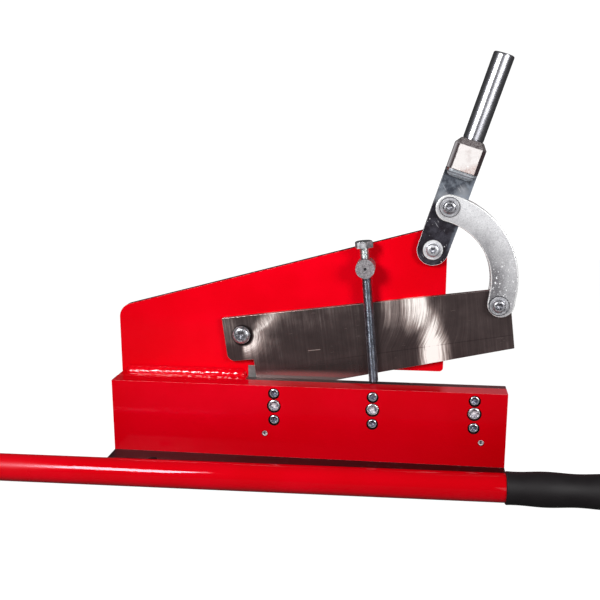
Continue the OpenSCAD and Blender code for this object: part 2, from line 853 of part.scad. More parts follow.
// The tube's open end lies on the bench and the grip's first crest holds the other end up
grip_crest_x = tube_len - grip_cover + grip_first_crest;
tube_rise = asin((grip_d - tube_d) / 2 / grip_crest_x);

module along_handle()
    translate([bar_left - tube_start, bar_front - tube_front - tube_start * tan(tube_skew),
               tube_d / 2])
        rotate([0, -tube_rise, tube_skew])
            rotate([0, 90, 0])
                children();

module handle_tube()
    color(RED)
        along_handle()
            difference() {
                cylinder(d = tube_d, h = tube_len, $fn = 96);
                translate([0, 0, -cut])
                    cylinder(d = tube_d - 2 * tube_wall, h = tube_len + 2 * cut, $fn = 96);
            }

grip_edge_r = 1.5;
grip_end_r = 6;
grip_step = 4;

module handle_grip()
    color(RUBBER)
        along_handle()
            translate([0, 0, tube_len - grip_cover])
                difference() {
                    rotate_extrude($fn = 96)
                        polygon(concat(
                            [[0, 0], [grip_r(0) - grip_edge_r, 0]],
                            [for (a = [30:30:90])
                                [grip_r(0) - grip_edge_r + grip_edge_r * sin(a),
                                 grip_edge_r - grip_edge_r * cos(a)]],
                            [for (x = [grip_step:grip_step:grip_len - grip_end_r - cut])
                                [grip_r(x), x]],
                            [for (a = [0:15:90])
                                [grip_r(grip_len - grip_end_r) - grip_end_r + grip_end_r * cos(a),
                                 grip_len - grip_end_r + grip_end_r * sin(a)]],
                            [[0, grip_len]]));
                    translate([0, 0, -cut])
                        cylinder(d = tube_d + 2 * seat_gap, h = grip_cover + seat_gap + cut, $fn = 96);
                }

foot_plate();
base_bar();
heel_block();
frame_plate();
plate_welds();
foot_welds();
lower_blade();
blade_rest();
blade_clamp_screws();
blade_jack_screws();
rest_set_screws();
heel_guide();
blade_pivot_bolt();
blade_pivot_bush();
blade_pivot_washer();
blade_pivot_nut();
lever_pivot_bolt();
lever_pivot_bush();
lever_pivot_washers();
lever_pivot_nut();
upper_blade();
lever_plate();
lever_welds();
lever_block();
stub_rod();
front_link();
rear_link();
link_top_bolt();
link_low_bolt();
link_top_bush();
link_low_bush();
link_washers();
link_nuts();
hold_down_stub();
hold_down_washer();
hold_down_nut();
hold_down_bolt();
handle_tube();
handle_grip();
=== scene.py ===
# %% [markdown]
# # A bench lever shear, dressed for its portrait
# The tool cuts sheet metal on a bench. A long lever turns on a red upright plate, two curved
# links carry its pull down to a ground upper blade, and that blade closes on a lower blade
# behind a heavy red bar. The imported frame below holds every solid, body and joint of the tool.
# Each cell after it makes one piece or one finish, and says how it could be made and why it
# was made this way.

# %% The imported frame
import math
import bmesh
import bpy
from mathutils import Matrix, Vector


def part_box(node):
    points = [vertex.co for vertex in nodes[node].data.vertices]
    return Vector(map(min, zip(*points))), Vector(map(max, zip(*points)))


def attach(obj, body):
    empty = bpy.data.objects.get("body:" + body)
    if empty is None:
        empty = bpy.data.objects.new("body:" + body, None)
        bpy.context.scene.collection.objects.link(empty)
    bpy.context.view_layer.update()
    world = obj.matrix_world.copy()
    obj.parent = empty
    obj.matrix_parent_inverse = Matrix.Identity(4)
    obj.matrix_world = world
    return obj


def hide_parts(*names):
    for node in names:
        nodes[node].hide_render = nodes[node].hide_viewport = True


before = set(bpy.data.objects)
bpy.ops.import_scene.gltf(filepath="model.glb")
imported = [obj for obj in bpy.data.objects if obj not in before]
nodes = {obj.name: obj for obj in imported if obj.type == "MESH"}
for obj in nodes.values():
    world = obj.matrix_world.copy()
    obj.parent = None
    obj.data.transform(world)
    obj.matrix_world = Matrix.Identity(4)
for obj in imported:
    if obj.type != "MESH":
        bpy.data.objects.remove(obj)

MM = 0.001


def middle(node):
    """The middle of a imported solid's box, in metres."""
    return sum(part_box(node), Vector()) / 2


# %% [markdown]
# ## Where the photographer stood
# A camera can be set by eye or worked out from the edges in the picture. Here the long edges
# of the bar, the plate and the blade gave its place, its three angles and its lens, so the
# render lies over the photograph. The optical axis isn't in the middle of the picture, which
# the two shifts allow for.

# %% The camera
yaw, pitch, roll = (math.radians(angle) for angle in (-9.0378, 13.4923, -0.4691))
ahead = Vector((math.sin(yaw) * math.cos(pitch), math.cos(yaw) * math.cos(pitch), -math.sin(pitch)))
level = Vector((math.cos(yaw), -math.sin(yaw), 0))
above = level.cross(ahead)
right = level * math.cos(roll) + above * math.sin(roll)
up = above * math.cos(roll) - level * math.sin(roll)

stand = Vector((0.106452, -0.880193, 0.342842))
lens = bpy.data.cameras.new("portrait_lens")
lens.sensor_width = 36
lens.lens = 54.35
lens.shift_x, lens.shift_y = 0.0465, 0.0642
lens.clip_start, lens.clip_end = 0.05, 60
camera = bpy.data.objects.new("portrait_camera", lens)
camera.matrix_world = Matrix.Translation(stand) @ Matrix((right, up, -ahead)).transposed().to_4x4()
bpy.context.scene.collection.objects.link(camera)
bpy.context.scene.camera = camera
print("camera at", [round(value, 3) for value in camera.location])

# %% [markdown]
# ## A pale floor and soft light
# The tool was photographed on white paper, and the picture shows where its two lights stood.
# The stub throws two soft shadows on the red plate, which give the direction of each light, and
# their blurred rims give its size: about 0.3 m at 1 m. The left light is also mirrored as a
# streak on the tube. The line back from the streak meets the line back from the shadow near one
# place, so that is where the left lamp stands. A wide, weak card at the right only lifts the
# shadows. The paper behind the tool is turned up like a photographer's sweep, of which only the
# strip that is mirrored in the top of the bar is built.

# %% Floor and lights
def paper_sheet(name, corners):
    """A flat piece of the white paper under and behind the tool."""
    sheet = bpy.data.meshes.new(name)
    sheet.from_pydata(corners, [], [(0, 1, 2, 3)])
    paper = bpy.data.objects.new(name, sheet)
    bpy.context.scene.collection.objects.link(paper)
    return paper


def soft_box(name, place, size, power):
    """A square soft light that shines from a place towards the tool, in metres and watts."""
    light = bpy.data.lights.new(name, "AREA")
    light.shape, light.energy = "RECTANGLE", power
    light.size = light.size_y = size
    lamp = bpy.data.objects.new(name, light)
    lamp.location = place
    lamp.rotation_mode = "QUATERNION"
    lamp.rotation_quaternion = (Vector(place) - tool_middle).to_track_quat("Z", "Y")
    lamp.visible_camera = False
    bpy.context.scene.collection.objects.link(lamp)


tool_middle = Vector((0.06, 0, 0.17))
floor_z, sweep_y = -0.0002, 1.5
paper = paper_sheet("paper_floor", [(-0.75, -0.60, floor_z), (0.75, -0.60, floor_z),
                                    (0.75, sweep_y, floor_z), (-0.75, sweep_y, floor_z)])
sweep = paper_sheet("paper_sweep", [(0.19, sweep_y, 0.44), (0.60, sweep_y, 0.44),
                                    (0.60, sweep_y, 0.95), (0.19, sweep_y, 0.95)])
soft_box("left_lamp", (-0.425, -0.755, 0.596), 0.30, 11.0)
soft_box("right_lamp", (0.735, -0.69, 0.477), 0.30, 6.6)
soft_box("right_card", (0.56, -1.10, 0.25), 0.50, 1.2)
bpy.context.scene.view_settings.view_transform = "Standard"

# %% [markdown]
# ## Writing node sums as Python
# Materials and growing shapes are both graphs of nodes. Clicking them together works, but such
# a graph is slow to read later. One small class wraps an output socket instead, and turns a
# Python sum on it into Math nodes, so that 1 - mask reads as it's meant.

# %% Sums on sockets
class Wire:
    """An output socket. A Python sum on it adds the Math node that works it out."""

    def __init__(self, graph, socket):
        self.graph, self.socket = graph, socket

    def __add__(self, other):
        return self.graph.sum("ADD", self, other)

    def __radd__(self, other):
        return self.graph.sum("ADD", other, self)

    def __sub__(self, other):
        return self.graph.sum("SUBTRACT", self, other)

    def __rsub__(self, other):
        return self.graph.sum("SUBTRACT", other, self)

    def __mul__(self, other):
        return self.graph.sum("MULTIPLY", self, other)

    def __rmul__(self, other):
        return self.graph.sum("MULTIPLY", other, self)

    def __truediv__(self, other):
        return self.graph.sum("DIVIDE", self, other)

    def __rtruediv__(self, other):
        return self.graph.sum("DIVIDE", other, self)

    def __pow__(self, other):
        return self.graph.sum("POWER", self, other)

    def __rpow__(self, other):
        return self.graph.sum("POWER", other, self)

    def __abs__(self):
        return self.graph.sum("ABSOLUTE", self)

    def __lt__(self, other):
        return self.graph.sum("LESS_THAN", self, other)

    def __gt__(self, other):
        return self.graph.sum("GREATER_THAN", self, other)


print("sums on sockets ready")

# %% [markdown]
# ## Every other node
# Noise, ramps, mixes and mesh tools aren't sums. A helper for each kind would be a long list,
# so one method makes any node from its kind, its settings and its sockets. The few short
# methods after it only name what is used most.

# %% Graph helper
class Graph:
    """A node tree that is written from top to bottom."""

    def __init__(self, tree):
        self.tree = tree

    @staticmethod
    def pick(sockets, key):
        """A socket by its identifier, its name or its number."""
        if isinstance(key, int):
            return sockets[key]
        return next((s for s in sockets if s.identifier == key), None) or sockets[key]

    def add(self, kind, settings=None, sockets=None, out=0):
        """A new node: settings first, then the values and links of its sockets."""
        node = self.tree.nodes.new(kind)
        for name, value in (settings or {}).items():
            if name == "stops":
                while len(node.color_ramp.elements) < len(value):
                    node.color_ramp.elements.new(0.5)
                for element, (place, colour) in zip(node.color_ramp.elements, value):
                    element.position, element.color = place, (*colour, 1)
            else:
                setattr(node, name, value)
        for key, value in (sockets or {}).items():
            socket = self.pick(node.inputs, key)
            if isinstance(value, Wire):
                self.tree.links.new(value.socket, socket)
            else:
                socket.default_value = value
        return Wire(self, self.pick(node.outputs, out)) if node.outputs else node

    def sum(self, operation, *terms):
        """A Math node on numbers and sockets."""
        return self.add("ShaderNodeMath", {"operation": operation}, dict(enumerate(terms)))

    def least(self, one, other):
        """The smaller of two values."""
        return self.sum("MINIMUM", one, other)

    def most(self, one, other):
        """The larger of two values."""
        return self.sum("MAXIMUM", one, other)

    def ramp(self, value, low, high):
        """0 at low, 1 at high, smooth between them."""
        return self.add("ShaderNodeMapRange", {"interpolation_type": "SMOOTHSTEP"},
                        {"Value": value, "From Min": low, "From Max": high})

    def vector(self, operation, *terms, out=0):
        """A Vector Math node."""
        return self.add("ShaderNodeVectorMath", {"operation": operation}, dict(enumerate(terms)), out)

    def apart(self, vector):
        """The x, y and z of a vector."""
        parts = self.add("ShaderNodeSeparateXYZ", None, {"Vector": vector}).socket.node
        return [Wire(self, socket) for socket in parts.outputs]

    def together(self, x, y, z):
        """A vector from its x, y and z."""
        return self.add("ShaderNodeCombineXYZ", None, {"X": x, "Y": y, "Z": z})


print("graph helper ready")

# %% [markdown]
# ## What a finish is made of
# Every finish starts from one Principled shader. What is the same all over the piece, such as
# how strongly it mirrors, is a plain value of the shader. What changes over the surface, such
# as cloudy colour, gloss and fine relief, comes from noise in the piece's own coordinates, so
# it stays put when the piece moves. A number stored on each face or point marks what no noise
# can know, such as where an edge is worn, where the walls and mouths of holes are painted dark
# as shade, and where a socket is sunk.

# %% Finish helper
class Finish(Graph):
    """A material with its shader, its pattern helpers and its outlets."""

    def __init__(self, name, **same_all_over):
        self.material = bpy.data.materials.new(name)
        self.material.use_nodes = True
        super().__init__(self.material.node_tree)
        self.shader = next(n for n in self.tree.nodes if n.type == "BSDF_PRINCIPLED")
        for socket, value in same_all_over.items():
            self.shader.inputs[socket.replace("_", " ")].default_value = value
        self.here = self.add("ShaderNodeTexCoord", out="Object")
        self.x, self.y, self.z = (part / MM for part in self.apart(self.here))
        self.worn = self.mark("worn")

    def mark(self, label):
        """A number from 0 to 1 that the mesh stores under a label."""
        return self.add("ShaderNodeAttribute", {"attribute_name": label}, out="Fac")

    def noise(self, size, detail=3.0, stretch=(1, 1, 1), turn=(0, 0, 0), seed=0.0, rough=0.5):
        """Noise from 0 to 1 whose blotches are size millimetres across, longer where stretched."""
        scale = [1 / (MM * size * s) for s in stretch]
        spot = self.add("ShaderNodeMapping", {"vector_type": "POINT"},
                        {"Vector": self.here, "Location": (seed * 3.1, seed * 1.7, seed * 5.3),
                         "Rotation": [math.radians(a) for a in turn]})
        spot = self.vector("MULTIPLY", spot, scale)
        return self.add("ShaderNodeTexNoise", None,
                        {"Vector": spot, "Scale": 1.0, "Detail": detail, "Roughness": rough})

    def specks(self, size, share, seed=0.0):
        """Small round specks, size millimetres apart, on a share of the places."""
        spot = self.vector("MULTIPLY_ADD", self.here, (1 / (MM * size),) * 3, (seed, seed * 2, seed * 3))
        cell = self.add("ShaderNodeTexVoronoi", None, {"Vector": spot, "Scale": 1.0}, "Distance")
        pick = self.add("ShaderNodeTexVoronoi", None, {"Vector": spot, "Scale": 1.0}, "Color")
        red = self.add("ShaderNodeSeparateColor", None, {"Color": pick}, "Red")
        return self.ramp(cell, 0.28, 0.12) * (red < share)

    def blend(self, share, one, other):
        """One colour going over to the other."""
        return self.add("ShaderNodeMix", {"data_type": "RGBA"},
                        {"Factor_Float": share, "A_Color": self.full(one), "B_Color": self.full(other)},
                        "Result_Color")

    @staticmethod
    def full(colour):
        """A colour with its opacity."""
        return colour if isinstance(colour, Wire) else (*colour, 1.0)

    def relief(self, height, depth, strength=1.0, under=None):
        """Bump whose height runs over depth millimetres."""
        sockets = {"Height": height, "Distance": depth * MM, "Strength": strength}
        if under is not None:
            sockets["Normal"] = under
        return self.add("ShaderNodeBump", None, sockets)

    def done(self, **outlets):
        """Feeds the shader with what changes over the surface, and gives the material."""
        for socket, value in outlets.items():
            self.tree.links.new(value.socket, self.shader.inputs[socket.replace("_", " ")])
        return self.material


print("finish helper ready")

# %% [markdown]
# ## Red enamel
# The bar, the plate, the welds and the tube are sprayed with glossy red enamel. Paint like this
# has a faint orange peel, is a little thin along the edges, and is cloudy on a large scale. One
# colour and one gloss would do for a toy. Here the colour comes from cloudy noise, and the peel
# from a very shallow bump. Shade is painted into the colour as well. Each piece's coat is made
# darker by its own amount, and the plate, the bar and the pipe are painted darker where less
# light falls. The lighter colour on rubbed edges is partly thin paint and partly a painted
# highlight. What the enamel mirrors is tinted red, except on the tube and the welds, whose wetter
# coat gives white lights. The walls and mouths of holes are painted nearly black as shade.

# %% Red enamel
def red_enamel(name, shade_tone=1.0, peel=1.0, edge=None, wet=False, painted_shade=None, dull=None, mirror=0.3,
               tint=(1.0, 0.35, 0.42)):
    """Glossy red. A shade_tone below 1 darkens the whole coat as painted shade, and peel scales the
    orange peel.

    painted_shade says where the colour is painted darker as shade, and dull says where the coat is
    duller. mirror and tint say how strongly and in which colour it mirrors. edge is the colour of
    the eased edges where they are rubbed, which is partly thin paint and partly a painted highlight."""
    coat = Finish(name, Specular_IOR_Level=mirror, Specular_Tint=(*tint, 1.0))
    cloud = coat.noise(60, detail=2)
    fine = coat.noise(7, detail=4, seed=1)
    # The tone darkens each piece's copy of the coat, as painted shade.
    colour = coat.blend(coat.ramp(cloud, 0.3, 0.7), (0.64 * shade_tone, 0.0, 0.005), (0.72 * shade_tone, 0.0, 0.008))
    colour = coat.blend(coat.ramp(fine, 0.55, 0.8) * 0.25, colour, (0.56 * shade_tone, 0.0, 0.004))
    # Painted shade: darker where less light falls on the piece.
    if painted_shade:
        colour = coat.blend(painted_shade(coat), colour, (0.40 * shade_tone, 0.0, 0.001))
    # Rubbed eased edges turn lighter: partly thin paint, partly a painted highlight.
    thin, bare = (0.30, 0.55) if edge else (0.42, 0.62)
    rubbed = coat.worn * coat.ramp(coat.noise(4, detail=5, seed=2), thin, bare)
    colour = coat.blend(rubbed * (0.95 if edge else 0.5), colour, edge or (0.85, 0.14, 0.15))
    # Hole walls and mouths are painted nearly black as shade.
    bored = coat.mark("bored")
    colour = coat.blend(bored, colour, (0.016, 0.004, 0.005))
    gloss, grain = (0.03, 0.03) if wet else (0.07, 0.10)
    gloss = gloss + grain * coat.ramp(fine, 0.3, 0.8) + 0.12 * rubbed + 0.45 * bored
    if dull:
        gloss = gloss + dull(coat)
    skin = coat.relief(coat.noise(2.2, detail=2, seed=3), 0.02 * peel, 0.35)
    skin = coat.relief(coat.noise(16, detail=1, seed=4), 0.05 * peel, 0.25, skin)
    return coat.done(Base_Color=colour, Roughness=gloss, Normal=skin)


def shade_low_and_ends(coat):
    """Painted shade: the bar is darker towards its lower edge and both ends."""
    return (coat.ramp(coat.z, 84.0, 20.0) * 0.34 + coat.ramp(coat.x, -120.0, 160.0) * 0.24
            + coat.ramp(coat.x, 130.0, 200.0) * 0.26 + coat.ramp(coat.x, -90.0, -200.0) * 0.16)


def shade_at_ends(coat):
    """Painted shade: the sheet is a little darker at its left and right end."""
    return coat.ramp(coat.x, -110.0, -200.0) * 0.36 + coat.ramp(coat.x, 60.0, 138.0) * 0.28


def shade_along_pipe(coat):
    """Painted shade: the pipe is darker at its right end and in its upper half."""
    return coat.ramp(coat.x, -60.0, 200.0) * 0.26 + coat.ramp(coat.z, 9.0, 17.0) * 0.42


def pipe_end(coat):
    """The pipe's coat is duller at its open left end, where it was handled."""
    return coat.ramp(coat.x, -185.0, -285.0) * 0.30


red_sheet = red_enamel("red_enamel", shade_tone=0.97, painted_shade=shade_at_ends)
# The bar's eased edges are painted as a light pink highlight line.
red_bar = red_enamel("red_enamel_bar", shade_tone=0.84, peel=0.7, edge=(1.0, 0.36, 0.38), painted_shade=shade_low_and_ends)
red_tube = red_enamel("red_enamel_tube", shade_tone=0.88, peel=0.5, wet=True, painted_shade=shade_along_pipe,
                      dull=pipe_end, mirror=0.26, tint=(1.0, 0.85, 1.0))
print(red_sheet.name, red_bar.name, red_tube.name)

# %% [markdown]
# ## Black enamel
# The foot plate is sprayed black. Its colour is painted slightly plum, as a reflection of the
# red bar, and it holds some dust. The colour is painted deeper to the right, as the tube's shade.
# Dust could be strewn as small meshes, but nobody would see their shape, so it's made of
# Voronoi cells, of which only a few are kept.

# %% Black enamel
coat = Finish("black_enamel", Specular_IOR_Level=0.22)
cloud = coat.noise(40, detail=4)
dust = coat.specks(3.2, 0.10)
# The plum tint of both colours is a painted reflection of the red bar.
colour = coat.blend(cloud, (0.009, 0.004, 0.005), (0.018, 0.007, 0.009))
# Painted shade of the tube: darker to the right.
colour = coat.blend(coat.ramp(coat.x, -100.0, 160.0) * 0.8, colour, (0.004, 0.0015, 0.002))
colour = coat.blend(dust * 0.35, colour, (0.30, 0.24, 0.24))
rubbed = coat.worn * coat.ramp(coat.noise(5, detail=5, seed=2), 0.45, 0.65)
colour = coat.blend(rubbed * 0.5, colour, (0.16, 0.13, 0.13))
black_sheet = coat.done(Base_Color=colour, Roughness=0.32 + 0.15 * cloud + 0.3 * dust,
                        Normal=coat.relief(coat.noise(1.6, detail=2, seed=3), 0.02, 0.4))
print(black_sheet.name)

# %% [markdown]
# ## Hand marks on the upper blade
# The wheel wasn't the last tool on the upper blade. A hand grinder left arcs that fan out from
# the pivot, and their bright wedges are a painted highlight. The lines of the working end bow
# where the blade was ground hollow, and a painted shadow of the bolt head sits round the bolt.
# Its taper was ground last and meets the flat in a thin seam, and a painted pinkish reflection
# lies on it near the lower edge. Painting these by hand would give a picture that only fits one
# size. Each mark is a short sum on the place along and up the blade instead, counted in
# millimetres from the pivot.

# %% Hand marks
def bowed(steel, along, up):
    """How far the lines of the working end bow to the side."""
    fall = steel.least(steel.most(18.0 - up, 0.0), 48.0)
    return fall * fall * 0.0073 * steel.ramp(along, 110.0, 150.0) * steel.ramp(along, 245.0, 185.0)


def fan_highlight(steel, lines, along, up, cloud, seed):
    """Painted highlight of the arcs round the pivot: bright wedges that reach further above it than below.
    """
    radius = steel.vector("LENGTH", steel.together(along, 0.0, up), out="Value")
    turn = steel.sum("ARCTAN2", up, along)
    strokes = lines(0.55, 11, 4, seed, 0.7, steel.together(radius + cloud * 3.0, 0.0, turn * 18.0))
    lift = steel.ramp(turn, 0.05, 0.50)
    aim = steel.ramp(turn, -1.80, -1.45) * steel.ramp(turn + cloud * 0.5, 1.05, 0.70)
    reach = steel.ramp(radius, 9.5, 14.0 + 8.0 * lift) * (0.62 - 0.24 * lift)
    fade = math.e ** (steel.most(radius - 16.0 - 24.0 * lift, 0.0) / -11.0)
    return aim * reach * fade * (0.55 + 0.45 * steel.ramp(strokes, 0.36, 0.62))


def land_edge(along):
    """Height at which the ground taper meets the flat of the blade."""
    return -31.5 + 0.044 * (along - 180.7)


def nicked(steel, along, up):
    """One short nick across the lines, beside the hold-down."""
    return steel.ramp(abs(along - 73.0), 7.0, 5.5) * steel.ramp(abs(up + 23.6), 0.5, 0.2)


def bolt_shadow(steel, along, up):
    """Painted shadow of the bolt head: a dark ring round the pivot bolt, a little lower than the bolt."""
    ring = steel.vector("LENGTH", steel.together(along - 1.2, 0.0, up + 0.9), out="Value")
    return steel.ramp(ring, 12.2, 10.4)


print("hand marks ready")

# %% [markdown]
# ## Ground steel
# Both blades are ground on a wheel, which leaves fine upright lines. Those lines spread a
# reflection sideways, so the blade is dull brown where it mirrors the dark room, and bright in
# bands where it mirrors the lights. An anisotropic shader could spread the light, but its bands
# would slide with the view. So the lines are noise that is stretched along the grinding
# direction, used for colour, gloss and relief together. The dull brown and the bright bands
# are largely painted reflections in the colour: each band is a painted highlight patch with its
# own place. Where a patch is bright, the steel is made less metallic, so that it shines towards
# every side.

# %% Ground steel
def ground_steel(name, pivot, rise, painted_highlights=(), by_hand=False, seed=0.0):
    """Steel whose grinding lines stand upright on an edge that rises by an angle from the pivot.

    Each of painted_highlights is a bright patch (along, up, half length, half height, strength,
    flare) in millimetres from the pivot, painted into the colour, and flare widens it downwards.
    by_hand adds the marks that a hand grinder left, with a painted highlight on its fan, a painted
    shadow round the bolt and a painted reflection along the taper."""
    steel = Finish(name)
    across, high = steel.x - pivot[0], steel.z - pivot[1]
    cosine, sine = math.cos(math.radians(rise)), math.sin(math.radians(rise))
    along, up = across * cosine + high * sine, high * cosine - across * sine
    bent = along + (bowed(steel, along, up) if by_hand else 0.0)
    spot = steel.together(bent, steel.y, up)

    def lines(width, length, detail, shift, rough=0.6, at=spot):
        """Lines width millimetres wide and length long."""
        scale = (1 / width, 1 / width, 1 / length)
        place = steel.vector("MULTIPLY_ADD", at, scale, (shift, shift * 2, shift * 3))
        return steel.add("ShaderNodeTexNoise", None,
                         {"Vector": place, "Scale": 1.0, "Detail": detail, "Roughness": rough})

    fine = lines(0.45, 30, 3, seed, 0.7)
    wide = lines(2.2, 160, 4, seed + 1, 0.65)
    streak = lines(1.1, 34, 4, seed + 8, 0.7)
    cloud = lines(24, 18, 4, seed + 2)
    shine = 0.32 * wide + 0.26 * fine + 0.26 * cloud
    combed = 0.62 + 0.38 * steel.ramp(streak * 0.6 + fine * 0.4, 0.42, 0.58)
    # Each patch is a painted highlight, a bright band laid into the colour.
    for patch_along, level, half, tall, strength, flare in painted_highlights:
        width = steel.most(half - (up - level) * flare, 1.5) if flare else half
        aside = ((along if flare else bent) - patch_along) / width
        above = (up - level) / tall
        highlight_patch = steel.ramp(aside * aside + above * above, 1.0, 0.0)
        shine = shine + highlight_patch * strength * combed
    scratch = steel.ramp(lines(14, 0.35, 1, seed + 5), 0.70, 0.74)
    scratch = scratch * steel.ramp(lines(16, 12, 1, seed + 6), 0.58, 0.64)
    polish_and_reflection = 0.0
    if by_hand:
        # The fan's bright wedges are a painted highlight.
        shine = shine + fan_highlight(steel, lines, along, up, cloud, seed + 3)
        scratch = steel.most(scratch, nicked(steel, along, up) * 1.5)
        from_land = up - land_edge(along)
        # Along the taper the steel is polished, and its colour also takes a painted pinkish reflection.
        polish_and_reflection = steel.ramp(from_land, 1.0, -9.0) * steel.ramp(along, 150.0, 70.0)
        seam = steel.ramp(abs(from_land), 0.55, 0.15) * steel.ramp(along, 60.0, 120.0)
        shine = shine - seam * 0.12
    # The shine sets the colour. Part of it is the grain's own, and part is painted reflection: dark brown
    # for the dark room, bright for the lights.
    colour = steel.add("ShaderNodeValToRGB", {"stops": [
        (0.22, (0.048, 0.034, 0.034)), (0.50, (0.115, 0.084, 0.083)), (0.75, (0.36, 0.29, 0.27)),
        (1.0, (0.93, 0.87, 0.83))]}, {"Fac": shine})
    colour = steel.blend(steel.least(scratch * 0.6, 0.9), colour, (0.62, 0.50, 0.46))
    rubbed = steel.worn * steel.ramp(steel.noise(3, detail=4, seed=seed + 7), 0.3, 0.55)
    colour = steel.blend(rubbed * 0.7, colour, (0.66, 0.58, 0.55))
    if by_hand:
        # Painted shadow of the bolt head round the pivot.
        colour = steel.blend(bolt_shadow(steel, along, up) * 0.85, colour, (0.012, 0.007, 0.008))
        # Painted pinkish reflection low on the taper.
        colour = steel.blend(polish_and_reflection * steel.ramp(high, -34.0, -41.0) * 0.8, colour, (0.55, 0.42, 0.41))
    gloss = 0.34 + 0.12 * cloud - 0.08 * wide - 0.08 * rubbed - 0.20 * polish_and_reflection
    skin = steel.relief(fine, 0.010, 0.6)
    skin = steel.relief(wide, 0.030, 0.5, skin)
    return steel.done(Base_Color=colour, Roughness=gloss, Normal=skin,
                      Metallic=0.85 - 0.65 * steel.ramp(shine, 0.45, 0.95))


print("ground steel ready")

# %% [markdown]
# ## Zinc plating
# Screws, washers and links are zinc plated: light silver, a little cloudy, with small bright
# specks where the plating is rubbed. One picture of plating wrapped round every screw would
# show the same cloud on each, so the clouds are noise between a dark and a light colour. Eased
# rims take a rim colour that is partly rubbed plating and partly a painted highlight, or painted
# shade where the rim colour is dark. A sunk socket is painted nearly black as shade, with a few
# painted glints.

# %% Plating finish
def zinc(name, dark, light, blotch=9.0, speck=2.0, gloss=0.30, seed=0.0, contrast=(0.35, 0.7),
         metal=1.0, rub=0.8, rim=(0.88, 0.88, 0.88), rim_metal=None, rim_gloss=0.0, well=0.85,
         change=None):
    """Plating between two colours, which change may repaint by its place on the tool.

    blotch and speck are sizes in millimetres. Rubbed edges take the colour rim, partly wear and
    partly a painted highlight, or painted shade where it is dark, and rim_metal and rim_gloss say
    how those edges mirror. well says how dark the sunk faces are painted as shade."""
    plate = Finish(name, Metallic=metal)
    cloud = plate.noise(blotch, detail=5, seed=seed, rough=0.6)
    grain = plate.noise(0.8, detail=3, seed=seed + 1)
    colour = plate.blend(plate.ramp(cloud * 0.75 + grain * 0.25, *contrast), dark, light)
    spots = plate.specks(speck, 0.22, seed + 2) * plate.ramp(plate.noise(11, seed=seed + 3), 0.5, 0.6)
    colour = plate.blend(spots * 0.8, colour, (0.95, 0.95, 0.95))
    if change:
        colour = change(plate, colour, cloud)
    # Rims take the rim colour: partly rubbed plating, partly a painted highlight, or painted shade where
    # the rim colour is dark.
    rubbed = plate.worn * plate.ramp(plate.noise(2.5, detail=4, seed=seed + 4), 0.25, 0.5)
    colour = plate.blend(rubbed * rub, colour, rim)
    # Sunk faces are painted dark as shade, broken by painted glints.
    painted_glint = plate.ramp(plate.noise(1.3, detail=1, seed=seed + 5), 0.50, 0.57)
    shaded = plate.mark("sunk") * well * (1.0 - 0.8 * painted_glint)
    colour = plate.blend(shaded, colour, (0.040, 0.042, 0.080))
    rough = gloss + 0.22 * grain - 0.1 * rubbed - rim_gloss * plate.worn
    skin = plate.relief(grain, 0.03, 0.5)
    skin = plate.relief(cloud, 0.10, 0.3, skin)
    sheen = {} if rim_metal is None else {"Metallic": metal + (rim_metal - metal) * plate.worn}
    return plate.done(Base_Color=colour, Roughness=rough, Normal=skin, **sheen)


print("plating ready")

# %% [markdown]
# ## Marks on the lever's block and weld
# The square block and its weld are bare, bright, and tinted brown by the heat of welding. Such
# marks belong to one spot. They could be painted on a picture that is wrapped round the piece,
# but here each is a short sum on its place, as on the blade. The places are counted along the
# leaning lever, in millimetres from its pivot.

# %% Block and weld marks
lever_lean = 18.0
lever_mm = middle("lever_pivot_bush") / MM


def on_lever(finish):
    """Millimetres to the right of the lever's middle line, and up along it from its pivot."""
    turn = math.radians(lever_lean)
    across, high = finish.x - lever_mm.x, finish.z - lever_mm.z
    return (across * math.cos(turn) - high * math.sin(turn),
            across * math.sin(turn) + high * math.cos(turn))


def mill_scale(finish, colour, cloud):
    """Dark scale on the block's corners and shoulder, and a brown bloom low on its face."""
    side, along = on_lever(finish)
    bloom = finish.ramp(along - side * 0.7 + cloud * 10.0, 93.0, 80.0)
    grit = finish.ramp(finish.noise(1.1, detail=3, seed=12), 0.35, 0.65)
    colour = finish.blend(bloom * (0.25 + 0.6 * grit), colour, (0.40, 0.27, 0.24))
    ragged = cloud * 2.6 - 1.3
    right_corner = finish.ramp(side + ragged, 10.6, 11.2)
    shoulder = finish.ramp(along + ragged * 0.3, 103.4, 104.0)
    left_corner = finish.ramp(side + ragged * 0.5, -10.4, -10.9)
    corner = finish.most(finish.most(right_corner, shoulder), left_corner)
    scale = finish.blend(finish.ramp(side, -12.0, -14.8), (0.040, 0.026, 0.028), (0.34, 0.32, 0.33))
    scale = finish.blend(finish.ramp(along, 103.0, 104.5) * grit, scale, (0.22, 0.20, 0.20))
    return finish.blend(corner, colour, scale)


def heat_tint(finish, colour, cloud):
    """Red-brown oxide at the left end of the lever's weld and along its upper rim."""
    side, along = on_lever(finish)
    dark_lane = finish.ramp(abs(along + cloud * 1.2 - 76.9), 0.8, 0.3)
    colour = finish.blend(dark_lane * 0.75, colour, (0.09, 0.10, 0.13))
    curl = finish.ramp(side + cloud * 4.0, -9.5, -11.5) * finish.ramp(along, 76.0, 77.5)
    burnt = finish.most(curl, finish.ramp(along + cloud * 1.5, 79.9, 80.6) * 0.9)
    colour = finish.blend(burnt, colour, (0.16, 0.045, 0.035))
    tip = finish.ramp(side, -13.4, -14.4) * finish.ramp(along, 79.0, 77.5)
    return finish.blend(tip * 0.8, colour, (0.90, 0.78, 0.78))


print("block and weld marks ready")

